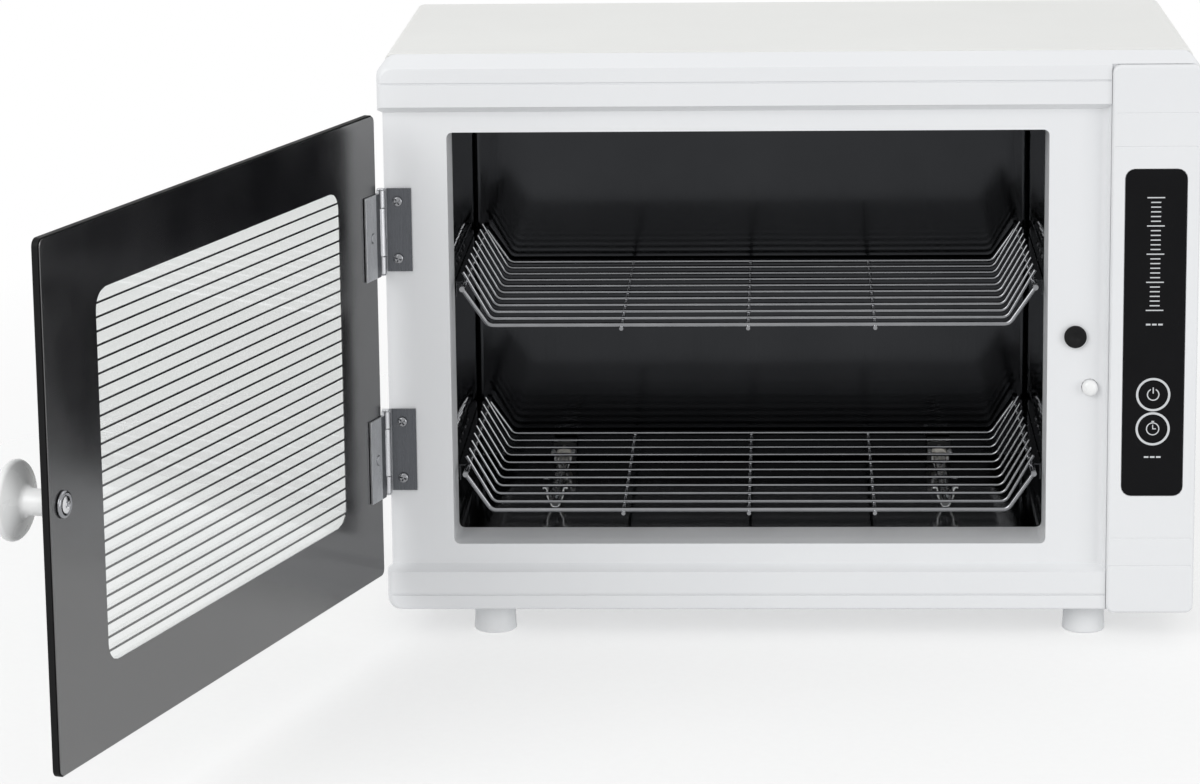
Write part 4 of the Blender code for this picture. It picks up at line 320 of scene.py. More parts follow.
def polished_chamber_steel():
    """Bright-annealed stainless sheet: a slowly waving mirror with faint hairlines 0.9 mm apart, its colour
    held dark as painted shade for the shaded inside of the chamber, and paler and clearer on the chamber's
    side walls as a painted reflection."""
    plain = {"Roughness": 0.1, "Metallic": 1.0}
    material, tree, shader, place = start_finish("polished_chamber_steel", "#323335", plain)
    across = add(tree, "ShaderNodeSeparateXYZ", None, {0: place}).outputs[0]
    aside = add(tree, "ShaderNodeMath", {"operation": "SUBTRACT", 1: CHAMBER_X}, {0: across}).outputs[0]
    aside = add(tree, "ShaderNodeMath", {"operation": "ABSOLUTE"}, {0: aside}).outputs[0]
    fade = {1: CHAMBER_HALF - PAINTED_REFLECTION_FADE[0], 2: CHAMBER_HALF - PAINTED_REFLECTION_FADE[1]}
    painted_reflection_walls = add(tree, "ShaderNodeMapRange", fade, {0: aside}).outputs[0]

    # The dark colour is painted shade for the chamber's shaded inside
    mottle(tree, shader, place, "#292A2C", "#363739", 70)
    mottled = shader.inputs["Base Color"].links[0].from_socket
    # The paler tint on the side walls is a painted reflection
    painted_reflection_tint = {"data_type": "RGBA", 7: linear("#7E7F81")}
    colour = add(tree, "ShaderNodeMix", painted_reflection_tint, {0: painted_reflection_walls, 6: mottled}).outputs[2]
    tree.links.new(colour, shader.inputs["Base Color"])

    hair = add(tree, "ShaderNodeMapping", {"Scale": (1, 1, 0.02)}, {"Vector": place}).outputs[0]
    lines = add(tree, "ShaderNodeTexNoise", noise_size(0.9, 2.0), {"Vector": hair})
    waves = add(tree, "ShaderNodeTexNoise", noise_size(60, 1.0), {"Vector": place})
    gloss_range(tree, shader, lines.outputs[0], 0.09, 0.13)
    dull = shader.inputs["Roughness"].links[0].from_socket
    keen = add(tree, "ShaderNodeMix", {"data_type": "FLOAT", 3: 0.03}, {0: painted_reflection_walls, 2: dull})
    tree.links.new(keen.outputs[0], shader.inputs["Roughness"])
    base = relief(tree, shader, waves.outputs[0], 0.12)
    relief(tree, shader, lines.outputs[0], 0.0006, base)
    return material


def chrome_plate(name, dark, light, least=0.08, most=0.2):
    """Plate on drawn steel, bright or tumbled: a little duller where the bath ran thin."""
    material, tree, shader, place = start_finish(name, light, {"Roughness": 0.12, "Metallic": 1.0})
    thin = mottle(tree, shader, place, dark, light, 14)
    draw = add(tree, "ShaderNodeTexNoise", noise_size(0.8, 2.0), {"Vector": place})
    gloss_range(tree, shader, thin, least, most)
    relief(tree, shader, draw.outputs[0], 0.008)
    return material


def zinc_plate():
    """Zinc electroplate with a clear passivation: blue-grey, cloudy, half dull."""
    plain = {"Roughness": 0.38, "Metallic": 1.0}
    material, tree, shader, place = start_finish("zinc_plate", "#A7ABB0", plain)
    cloud = mottle(tree, shader, place, "#969BA1", "#B9BCC0", 9)
    crystal = add(tree, "ShaderNodeTexVoronoi", {"Scale": 1 / (1.4 * MM)}, {"Vector": place})
    gloss_range(tree, shader, cloud, 0.3, 0.46)
    relief(tree, shader, crystal.outputs[0], 0.01)
    return material


def brushed_hinge_steel(name, dark, light, other, along, painted_band):
    """Stainless strip brushed upright: streaked, with light or shade painted in another tone on one band
    beside the pin (painted shade on the clamp, a painted highlight on the leaf's knuckle). The strokes are
    drawn 0.4 mm apart, coarser than real ones, so that they show."""
    material, tree, shader, place = start_finish(name, light, {"Roughness": 0.3, "Metallic": 1.0})
    drawn = add(tree, "ShaderNodeMapping", {"Scale": (1, 1, 0.03)}, {"Vector": place}).outputs[0]
    strokes = add(tree, "ShaderNodeTexNoise", noise_size(0.4, 3.0), {"Vector": drawn})
    offset = add(tree, "ShaderNodeVectorMath", {"operation": "SUBTRACT", 1: HINGE}, {0: place}).outputs[0]
    reach = add(tree, "ShaderNodeVectorMath", {"operation": "DOT_PRODUCT", 1: along}, {0: offset})
    ramps = []
    for edge, before, after in ((painted_band[0], 0, 1), (painted_band[1], 1, 0)):
        ramp = {1: edge - PAINTED_BAND_FADE, 2: edge + PAINTED_BAND_FADE, 3: before, 4: after}
        ramps.append(add(tree, "ShaderNodeMapRange", ramp, {0: reach.outputs["Value"]}).outputs[0])
    inside = add(tree, "ShaderNodeMath", {"operation": "MULTIPLY"}, {0: ramps[0], 1: ramps[1]}).outputs[0]
    streaks = shades(tree, strokes.outputs[0], dark, light)
    # The band's tone is painted light or shade: shade on the clamp, a highlight on the leaf's knuckle
    painted_banded = add(tree, "ShaderNodeMix", {"data_type": "RGBA", 7: linear(other)}, {0: inside, 6: streaks})
    tree.links.new(painted_banded.outputs[2], shader.inputs["Base Color"])
    gloss_range(tree, shader, strokes.outputs[0], 0.22, 0.4)
    relief(tree, shader, strokes.outputs[0], 0.012)
    return material


def glossy_overlay():
    """Hard-coated black polycarbonate overlay: deep black, clear gloss with a very slow ripple."""
    material, tree, shader, place = start_finish(
        "glossy_overlay", "#0C0C0E", {"Roughness": 0.2, "IOR": 1.5, "Specular IOR Level": 0.09}
    )
    mottle(tree, shader, place, "#0A0A0C", "#101012", 18)
    ripple = add(tree, "ShaderNodeTexNoise", noise_size(6, 1.0), {"Vector": place})
    gloss_range(tree, shader, ripple.outputs[0], 0.16, 0.26)
    relief(tree, shader, ripple.outputs[0], 0.012)
    return material


def screen_printed_enamel():
    """Black ceramic ink fired on glass: dense and glossy, its level drifting a little from the squeegee."""
    plain = {"Roughness": 0.16, "IOR": 2.2}
    material, tree, shader, place = start_finish("screen_printed_enamel", "#131315", plain)
    cover = mottle(tree, shader, place, "#101012", "#18181A", 40)
    strokes = add(tree, "ShaderNodeTexNoise", noise_size(12, 1.0), {"Vector": place})
    gloss_range(tree, shader, cover, 0.13, 0.2)
    relief(tree, shader, strokes.outputs[0], 0.006)
    return material


def float_glass():
    """Toughened float glass: clear with a trace of green, and the slight wave of the tempering rollers."""
    material, tree, shader, place = start_finish(
        "float_glass", "#F6F8F7", {"Roughness": 0.02, "IOR": 1.52, "Transmission Weight": 1.0}
    )
    smears = add(tree, "ShaderNodeTexNoise", noise_size(45, 3.0), {"Vector": place})
    gloss_range(tree, shader, smears.outputs[0], 0.0, 0.03)
    wave = add(tree, "ShaderNodeTexNoise", noise_size(80, 0.0), {"Vector": place})
    relief(tree, shader, wave.outputs[0], 0.008)
    return material


def fused_quartz():
    """Drawn quartz tube: water-clear, with faint draw lines, its index set low as for so thin a wall."""
    material, tree, shader, place = start_finish(
        "fused_quartz", "#FDFDFE", {"Roughness": 0.0, "IOR": 1.12, "Transmission Weight": 1.0}
    )
    drawn = add(tree, "ShaderNodeMapping", {"Scale": (1, 0.02, 1)}, {"Vector": place}).outputs[0]
    lines = add(tree, "ShaderNodeTexNoise", noise_size(1.5, 1.0), {"Vector": drawn})
    gloss_range(tree, shader, lines.outputs[0], 0.0, 0.02)
    return material


def moulded_plastic(name, dark, light, roughness, grain_mm=0.8, height_mm=0.01, sheen=0.5):
    """A glossy or matt moulding: an even shade, slight flow clouds and the tool's own grain."""
    plain = {"Roughness": roughness, "IOR": 1.5, "Specular IOR Level": sheen}
    material, tree, shader, place = start_finish(name, light, plain)
    flow = mottle(tree, shader, place, dark, light, 16)
    grain = add(tree, "ShaderNodeTexNoise", noise_size(grain_mm, 2.0), {"Vector": place})
    gloss_range(tree, shader, flow, roughness * 0.85, roughness * 1.15)
    relief(tree, shader, grain.outputs[0], height_mm)
    return material


def circuit_laminate():
    """Glass-epoxy board under green solder mask: woven cloth shows through as a faint 0.8 mm check."""
    plain = {"Roughness": 0.35, "IOR": 1.55}
    material, tree, shader, place = start_finish("circuit_laminate", "#1E6B3C", plain)
    weave = add(tree, "ShaderNodeTexChecker", {"Scale": 1 / (0.8 * MM)}, {"Vector": place})
    tree.links.new(shades(tree, weave.outputs[1], "#1A6036", "#237544"), shader.inputs["Base Color"])
    relief(tree, shader, weave.outputs[1], 0.01)
    return material


def make_finishes():
    """Every finish by its slot's name, or by its own where a slot has more than one."""
    door_way = DOOR_PLACE.to_3x3() @ Vector((1, 0, 0))
    leaf_way = Vector((1, 0, 0))
    return {
        "powder_coat": powder_coat(),
        "moulding": moulded_abs(),
        "polished_steel": polished_chamber_steel(),
        "chromed_wire": chrome_plate("bright_chrome", "#C9CACC", "#E0E1E3"),
        # Chrome plate on the shelf wires, drawn greyer than the bright plate: painted shade for the dim
        # chamber they stand in
        "shelf_chrome": chrome_plate("shelf_chrome", "#808184", "#949597"),
        # Turned stainless steel left as cut: darker than plate
        "screw_steel": chrome_plate("screw_steel", "#808184", "#9A9B9E"),
        # Tempered strip, nickel-plated and tumbled: pale and half dull
        "spring_steel": chrome_plate("spring_steel", "#ECEDEE", "#F6F6F7", 0.46, 0.56),
        # Black edge enamel laid on by roller: dull, without the print's shine
        "edge_paint": moulded_plastic("edge_paint", "#0C0C0D", "#121213", 0.6, 3.0, 0.002, 0.15),
        "zinc_sheet": zinc_plate(),
        # Clamp: its band next to the pin is painted shade
        "hinge_steel": brushed_hinge_steel(
            "brushed_clamp_steel", "#AEB0B3", "#D2D3D6", "#5E6064", door_way, CLAMP_PAINTED_SHADE_BAND
        ),
        # Leaf: its steel is drawn darker than the clamp's as painted shade, and its knuckle band is a
        # painted highlight
        "leaf_steel": brushed_hinge_steel(
            "brushed_leaf_steel", "#484A4E", "#686A6E", "#BFC0C3", leaf_way, LEAF_PAINTED_HIGHLIGHT_BAND
        ),
        "panel_gloss": glossy_overlay(),
        "black_enamel": screen_printed_enamel(),
        "clear_glass": float_glass(),
        "clear_quartz": fused_quartz(),
        # Glossy white urea, as knobs and switch pins are pressed from
        "white_plastic": moulded_plastic("white_moulding", "#E9EAEA", "#F3F3F2", 0.28),
        # Glass-filled nylon: a soft black with a fine tooth
        "black_plastic": moulded_plastic("black_moulding", "#1C1C1D", "#29292A", 0.5, 0.5, 0.02),
        # Moulded rubber: matt, with the tool's blasted grain
        "grey_rubber": moulded_plastic("pale_rubber", "#E4E5E6", "#EEEFF0", 0.62, 0.7, 0.03),
        # Sintered ferrite, ground flat: charcoal with a powdery grain and hardly a shine
        "ferrite": moulded_plastic("sintered_ferrite", "#0D0D0E", "#161617", 0.5, 0.4, 0.03, 0.15),
        "laminate": circuit_laminate(),
        # Extruded PVC sleeve: off-white, with a waxy look
        "cable": moulded_plastic("pvc_sleeve", "#D2D2CE", "#E0E0DC", 0.45, 0.9, 0.02),
        # Screen-printed ink on the overlay: flat pale grey
        "ink": moulded_plastic("light_grey_ink", "#C4C6C8", "#D2D4D6", 0.4, 0.5, 0.006),
        # Fired steatite without glaze: warm white, chalky
        "ceramic": moulded_plastic("steatite_ceramic", "#DEDAD0", "#EAE6DD", 0.45, 0.6, 0.02),
    }


def put_in_scene(name, data):
    """A new object of this mesh, curve, light or camera, at the origin."""
    holder = bpy.data.objects.new(name, data)
    bpy.context.scene.collection.objects.link(holder)
    return holder


def as_mesh(name, bm):
    """The bmesh made a mesh and freed."""
    mesh = bpy.data.meshes.new(name)
    bm.to_mesh(mesh)
    bm.free()
    return mesh


def worked_out(holder):
    """What an object's curve or modifiers come to, as a bmesh."""
    bpy.context.view_layer.update()
    evaluated = holder.evaluated_get(bpy.context.evaluated_depsgraph_get())
    mesh = bpy.data.meshes.new_from_object(evaluated)
    bm = bmesh.new()
    bm.from_mesh(mesh)
    bpy.data.meshes.remove(mesh)
    return bm


def finish_piece(name, bm, finish, body, stands_for=None, sharp_deg=32, even=False):
    """Makes the piece from a bmesh in place, and gives it its finish, its body and what it replaces."""
    bmesh.ops.recalc_face_normals(bm, faces=bm.faces[:])
    mesh = as_mesh(name, bm)
    mesh.shade_smooth()
    mesh.set_sharp_from_angle(angle=math.radians(sharp_deg))
    mesh.materials.append(FINISHES[finish])
    piece = put_in_scene(name, mesh)
    if even:
        piece.modifiers.new("even_flats", "WEIGHTED_NORMAL").keep_sharp = True
    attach(piece, body)
    if stands_for:
        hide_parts(stands_for)


def merged_copy(node):
    """The node's own shape as one skin, with the flat parts whole again."""
    bm = bmesh.new()
    bm.from_mesh(frame["nodes"][node].data)
    bmesh.ops.remove_doubles(bm, verts=bm.verts[:], dist=MERGE_DISTANCE)
    bmesh.ops.dissolve_limit(bm, angle_limit=math.radians(0.5), verts=bm.verts[:], edges=bm.edges[:])
    return bm


def ease_edges(bm, width, segments, least_deg=32):
    """Rounds every edge that is sharper than this, as folding, stamping or moulding leaves it."""
    sharp = [e for e in bm.edges if e.is_manifold and e.calc_face_angle(0) > math.radians(least_deg)]
    bevel_edges(bm, sharp, width, segments)


def bevel_edges(bm, edges, width, segments):
    """Rounds these edges."""
    bmesh.ops.bevel(
        bm, geom=edges, offset=width, offset_type="OFFSET", segments=segments, profile=0.5,
        affect="EDGES", clamp_overlap=True, material=-1,
    )


def eased_node(node, finish, width_mm, segments=2):
    """Stands for a node with its own shape and eased edges."""
    bm = merged_copy(node)
    ease_edges(bm, width_mm * MM, segments)
    finish_piece(node + "_eased", bm, finish, frame["nodes"][node]["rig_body"], node, even=True)


def facing(point, direction):
    """The placement that sets a turned piece's axis along a direction."""
    turn = Vector(direction).to_track_quat("Z", "Y").to_matrix().to_4x4()
    return Matrix.Translation(point) @ turn


def turned(profile, steps=48):
    """A solid spun from (radius, height) points, poles and seam closed."""
    bm = bmesh.new()
    verts = [bm.verts.new((radius, 0, height)) for radius, height in profile]
    edges = [bm.edges.new(pair) for pair in zip(verts, verts[1:])]
    bmesh.ops.spin(
        bm, geom=verts + edges, cent=(0, 0, 0), axis=(0, 0, 1), angle=math.tau, steps=steps, use_merge=True
    )
    bmesh.ops.remove_doubles(bm, verts=bm.verts[:], dist=MERGE_DISTANCE)
    bmesh.ops.recalc_face_normals(bm, faces=bm.faces[:])
    return bm


def arc(centre, radius, start_deg, end_deg, steps=6):
    """Points along an arc of a profile, both ends included."""
    angles = [math.radians(start_deg + (end_deg - start_deg) * i / steps) for i in range(steps + 1)]
    return [(centre[0] + radius * math.cos(a), centre[1] + radius * math.sin(a)) for a in angles]


def flat_ring(outer, inner, thickness):
    """A flat ring of a square section, standing on height 0."""
    return turned([(inner, 0), (outer, 0), (outer, thickness), (inner, thickness), (inner, 0)], 64)


def round_measures(box, axis, end):
    """The centre of a round node's lower (0) or upper (1) end along y or z, its radius and its length."""
    low, high = box
    centre = (low + high) / 2
    centre[axis] = box[end][axis]
    return centre, (high.x - low.x) / 2, high[axis] - low[axis]


def join(bm, other):
    """Adds another bmesh's shape to this one and frees it."""
    mesh = as_mesh("part", other)
    bm.from_mesh(mesh)
    bpy.data.meshes.remove(mesh)


def moved(bm, matrix):
    """The same bmesh, moved or turned."""
    bmesh.ops.transform(bm, matrix=matrix, verts=bm.verts[:])
    return bm


def block(low, high):
    """A box between two corners."""
    low, high = Vector(low), Vector(high)
    bm = bmesh.new()
    bmesh.ops.create_cube(bm, size=1)
    bmesh.ops.scale(bm, vec=high - low, verts=bm.verts[:])
    bmesh.ops.translate(bm, vec=(low + high) / 2, verts=bm.verts[:])
    return bm


def rounded_plate(left, right, bottom, top, radius, thickness):
    """A flat plate with round corners in the upright plane, from y 0 back."""
    bm = block((left, 0, bottom), (right, thickness, top))
    corners = [e for e in bm.edges if abs(e.verts[0].co.y - e.verts[1].co.y) > thickness / 2]
    bevel_edges(bm, corners, radius, 8)
    return bm


def from_curve(curve):
    """A curve's shape as a bmesh. The curve is removed."""
    holder = put_in_scene("drawn", curve)
    bm = worked_out(holder)
    bpy.data.objects.remove(holder)
    bpy.data.curves.remove(curve)
    return bm


def drawn_wires(paths, resolution=4):
    """Round wires along (points, radius) paths, with closed ends."""
    curve = bpy.data.curves.new("wires", "CURVE")
    curve.dimensions = "3D"
    curve.bevel_depth = 1.0
    curve.bevel_resolution = resolution
    curve.use_fill_caps = True
    for points, radius in paths:
        spline = curve.splines.new("POLY")
        spline.points.add(len(points) - 1)
        for target, point in zip(spline.points, points):
            target.co = (*point, 1)
            target.radius = radius
    bm = from_curve(curve)
    bmesh.ops.remove_doubles(bm, verts=bm.verts[:], dist=MERGE_DISTANCE)
    return bm


def carved(bm, cutter):
    """The first shape with the second cut out of it."""
    holders = []
    for shape in (bm, cutter):
        bmesh.ops.recalc_face_normals(shape, faces=shape.faces[:])
        holders.append(put_in_scene("shape", as_mesh("shape", shape)))
    cut = holders[0].modifiers.new("cut", "BOOLEAN")
    cut.operation = "DIFFERENCE"
    cut.solver = "EXACT"
    cut.object = holders[1]
    result = worked_out(holders[0])
    for holder in holders:
        bpy.data.objects.remove(holder)
    return result


def weld_bead(radius, place):
    """The flattened bead that resistance welding squeezes out where two wires cross."""
    bead = bmesh.new()
    bmesh.ops.create_icosphere(bead, subdivisions=2, radius=radius)
    bmesh.ops.scale(bead, vec=(1, 1, BEAD_FLATNESS), verts=bead.verts[:])
    return moved(bead, Matrix.Translation(place))


def shelf_wire_path(half_floor, end_half, rise, y):
    """Flat in the middle, and bent up at one slant to its two ends, with a smooth bend."""
    angle = math.atan2(rise, end_half - half_floor)
    setback = SHELF_BEND_RADIUS * math.tan(angle / 2)
    half = []
    for step in range(BEND_STEPS + 1):
        turn = angle * step / BEND_STEPS
        across = half_floor - setback + SHELF_BEND_RADIUS * math.sin(turn)
        half.append((across, SHELF_BEND_RADIUS * (1 - math.cos(turn))))
    half.append((end_half, rise))
    return [(-u, y, v) for u, v in reversed(half)] + [(u, y, v) for u, v in half]


def wire_shelf(node):
    """Nine thin wires whose ends stand above two rims, two frame wires and three cross wires, all welded."""
    low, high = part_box(node)
    slope = math.hypot(SHELF_RISE, SHELF_RUN)
    out, down = SHELF_RISE / slope, SHELF_RUN / slope
    tip_half = (high.x - low.x) / 2 - WIRE_RADIUS * out
    half_floor = tip_half - SHELF_RUN
    weld_half = half_floor + RIM_HEIGHT_SHARE * SHELF_RUN
    weld_rise = RIM_HEIGHT_SHARE * SHELF_RISE
    apart = WIRE_RADIUS + RIM_WIRE_RADIUS - WELD_SINK
    rim_half = weld_half + apart * out
    rim_rise = weld_rise - apart * down
    front = low.y + SHELF_OVERHANG
    length = high.y - SHELF_OVERHANG - front
    floor = high.z - SHELF_RISE - WIRE_RADIUS * down
    below = WELD_SINK - WIRE_RADIUS - CROSS_WIRE_RADIUS
    touch = WIRE_RADIUS - WELD_SINK / 2
    paths, beads = [], []
    for i in range(SHELF_WIRES):
        y = length * i / (SHELF_WIRES - 1)
        if i in (0, SHELF_WIRES - 1):
            radius, half, rise = FRAME_WIRE_RADIUS, rim_half, rim_rise
            joint = (rim_half - touch * down, rim_rise + touch * out)
        else:
            radius, half, rise = WIRE_RADIUS, tip_half, SHELF_RISE
            joint = (weld_half + touch * out, weld_rise - touch * down)
        paths.append((shelf_wire_path(half_floor, half, rise, y), radius))
        for side in (-1, 1):
            beads.append((radius * RIM_BEAD_SHARE, (side * joint[0], y, joint[1])))
        for side in (-1, 0, 1):
            beads.append((radius * CROSS_BEAD_SHARE, (side * CROSS_WIRE_PITCH, y, below / 2)))
    lengthwise = [(side * rim_half, rim_rise, RIM_WIRE_RADIUS) for side in (-1, 1)]
    lengthwise += [(side * CROSS_WIRE_PITCH, below, CROSS_WIRE_RADIUS) for side in (-1, 0, 1)]
    for x, z, radius in lengthwise:
        paths.append(([(x, y, z) for y in (-SHELF_OVERHANG, length + SHELF_OVERHANG)], radius))
    bm = drawn_wires(paths)
    for radius, place in beads:
        join(bm, weld_bead(radius, place))
    moved(bm, Matrix.Translation(((low.x + high.x) / 2, front, floor)))
    finish_piece(node + "_wires", bm, "shelf_chrome", node, node, 50)


def cross_cutter(reach, depth):
    """The tapered cross that a driver's recess is pressed with."""
    bm = bmesh.new()
    bmesh.ops.create_grid(bm, x_segments=3, y_segments=3, size=reach)
    middles = [(face, face.calc_center_median()) for face in bm.faces]
    corners = [face for face, middle in middles if min(abs(middle.x), abs(middle.y)) > reach / 3]
    bmesh.ops.delete(bm, geom=corners, context="FACES")
    for vert in bm.verts:
        for axis in (0, 1):
            if abs(vert.co[axis]) < reach * 0.5:
                vert.co[axis] *= CROSS_ARM_SHARE
    grown = bmesh.ops.extrude_face_region(bm, geom=bm.faces[:])["geom"]
    lower = [item for item in grown if isinstance(item, bmesh.types.BMVert)]
    bmesh.ops.translate(bm, verts=lower, vec=(0, 0, -depth))
    bmesh.ops.scale(bm, vec=(CROSS_TAPER, CROSS_TAPER, 1), verts=lower)
    return bm


def pan_head(dome, shank_length):
    """A recessed pan-head screw of head radius 1, its seat at height 0 and its shank below."""
    side = dome * HEAD_SIDE_RISE
    profile = [(0, -shank_length), (SHANK_WIDTH * SHANK_TIP_SHARE, -shank_length)]
    profile += [(SHANK_WIDTH, -shank_length * SHANK_TIP_START), (SHANK_WIDTH, 0)]
    profile += [(HEAD_SEAT_WIDTH, 0), (1.0, dome * HEAD_SEAT_RISE), (1.0, side)]
    for across, up in arc((0, 0), 1.0, 0, 90)[1:]:
        profile.append((HEAD_FLAT_WIDTH + (1 - HEAD_FLAT_WIDTH) * across, side + (dome - side) * up))
    profile.append((0, dome * HEAD_CROWN_RISE))
    start = Matrix.Translation((0, 0, dome * CROSS_START_RISE))
    cutter = moved(cross_cutter(CROSS_WIDTH, CROSS_DEPTH), start)
    return carved(turned(profile, 32), cutter)


def screw_piece(node, outward, finish, turn_deg):
    """A cross-recessed screw in place of a node: the head's seat and size come from the node's box."""
    low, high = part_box(node)
    axis = max(range(3), key=lambda i: abs(outward[i]))
    head_radius = max(high[i] - low[i] for i in range(3) if i != axis) / 2
    length = high[axis] - low[axis]
    seat = (low + high) / 2
    seat[axis] = high[axis] - SCREW_HEAD if outward[axis] > 0 else low[axis] + SCREW_HEAD
    bm = pan_head(SCREW_HEAD / head_radius, (length - SCREW_HEAD) / head_radius)
    spin = Matrix.Rotation(math.radians(turn_deg), 4, "Z")
    moved(bm, facing(seat, outward) @ spin @ Matrix.Scale(head_radius, 4))
    finish_piece(node + "_head", bm, finish, frame["nodes"][node]["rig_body"], node, 28)


def spring_clip(node):
    """A bent strip: narrow foot, prongs that hug the tube, and tips curled outwards."""
    low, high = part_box(node)
    curve = bpy.data.curves.new("strip", "CURVE")
    curve.dimensions = "2D"
    curve.resolution_u = 6
    line = [(-u, v) for u, v in reversed(SPRING_HALF_MM)] + SPRING_HALF_MM
    spline = curve.splines.new("BEZIER")
    spline.bezier_points.add(len(line) - 1)
    for target, (u, v) in zip(spline.bezier_points, line):
        target.co = (u * MM, v * MM, 0)
        target.handle_left_type = target.handle_right_type = "AUTO"
    bm = from_curve(curve)
    grown = bmesh.ops.extrude_edge_only(bm, edges=bm.edges[:])["geom"]
    side = [item for item in grown if isinstance(item, bmesh.types.BMVert)]
    bmesh.ops.translate(bm, verts=side, vec=(0, 0, high.y - low.y))
    bmesh.ops.recalc_face_normals(bm, faces=bm.faces[:])
    bmesh.ops.solidify(bm, geom=bm.faces[:], thickness=SPRING_SHEET)
    ease_edges(bm, 0.12 * MM, 2, 60)
    place = ((low.x + high.x) / 2, high.y, low.z + SPRING_SHEET / 2)
    moved(bm, Matrix.Translation(place) @ UPRIGHT)
    finish_piece(node + "_spring", bm, "spring_steel", "cabinet", node, 50)


def lamp_pieces(node):
    """A clear quartz tube with a domed end, two electrodes on their wires inside, and a ceramic base."""
    low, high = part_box(node)
    x, z = (low.x + high.x) / 2, (low.z + high.z) / 2
    place = facing((x, low.y, z), (0, 1, 0))
    length = high.y - low.y - LAMP_BASE_LENGTH
    inner = LAMP_RADIUS - LAMP_WALL
    profile = arc((0, LAMP_RADIUS), LAMP_RADIUS, -90, 0, 10) + [(LAMP_RADIUS, length), (inner, length)]
    profile += arc((0, LAMP_RADIUS), inner, 0, -90, 10)
    tube = moved(turned(profile, 40), place)
    finish_piece(node + "_tube", tube, "clear_quartz", "cabinet", node, 50)

    end = length + LAMP_BASE_LENGTH
    profile = [(0, length + 0.2 * MM), (LAMP_BASE_RADIUS * 0.94, length + 0.2 * MM)]
    profile += [(LAMP_BASE_RADIUS, length + 0.6 * MM), (LAMP_BASE_RADIUS, end - 0.4 * MM)]
    profile += [(LAMP_BASE_RADIUS * 0.92, end), (0, end)]
    cap = moved(turned(profile, 40), place)
    finish_piece(node + "_base", cap, "ceramic", "cabinet")

    base_y = low.y + length
    paths = []
    for side, reach in ((-1, SHORT_LEAD), (1, length - LONG_LEAD_LACK)):
        lead_x, tip_y = x + side * LEAD_OFFSET, base_y - reach
        paths.append((((lead_x, base_y, z), (lead_x, tip_y, z)), LEAD_RADIUS))
        coil = []
        for i in range(COIL_TURNS * COIL_STEPS_A_TURN + 1):
            turn = math.tau * i / COIL_STEPS_A_TURN
            across = COIL_RADIUS * math.cos(turn) * COIL_WIDTH_SHARE
            coil.append((lead_x + across, tip_y - i * COIL_STEP, z + COIL_RADIUS * math.sin(turn)))
        paths.append((coil, COIL_WIRE_RADIUS))
    finish_piece(node + "_electrodes", drawn_wires(paths, 2), "zinc_sheet", "cabinet", sharp_deg=60)


def in_door(node):
    """A door node's box with the door shut, in door measures."""
    shut = DOOR_PLACE.inverted()
    points = [shut @ vert.co for vert in frame["nodes"][node].data.vertices]
    return [Vector([pick(point[axis] for point in points) for axis in range(3)]) for pick in (min, max)]


def door_knob():
    """The mushroom knob: one moulding, a thin soft-edged head with a low dome on a flared stem."""
    centre, radius, height = round_measures(in_door("door_knob"), 1, 1)
    rim = radius - KNOB_EDGE_ROUND
    tilt = math.atan(2 * KNOB_DOME / rim)
    reach = rim + KNOB_EDGE_ROUND * math.sin(tilt)
    level = height - KNOB_DOME - KNOB_EDGE_ROUND * math.cos(tilt)
    waist = KNOB_STEM_RADIUS + KNOB_NECK_ROUND
    back = level - KNOB_EDGE_ROUND - KNOB_BACK_SLANT
    lean = math.degrees(math.atan2(KNOB_BACK_SLANT, rim - waist))
    shares = [step / KNOB_DOME_STEPS for step in range(KNOB_DOME_STEPS)]
    profile = [(reach * share, height - KNOB_DOME * share**2) for share in shares]
    profile += arc((rim, level), KNOB_EDGE_ROUND, 90 - math.degrees(tilt), lean - 90, 16)
    profile += arc((waist, back - KNOB_NECK_ROUND), KNOB_NECK_ROUND, 90 + lean, 180, 10)
    profile += [(KNOB_STEM_RADIUS, KNOB_STEM_CHAMFER), (KNOB_STEM_RADIUS - KNOB_STEM_CHAMFER, 0), (0, 0)]
    bm = moved(turned(profile, 64), DOOR_PLACE @ facing(centre, (0, -1, 0)))
    finish_piece("door_knob_turned", bm, "white_plastic", "door", "door_knob", 40)


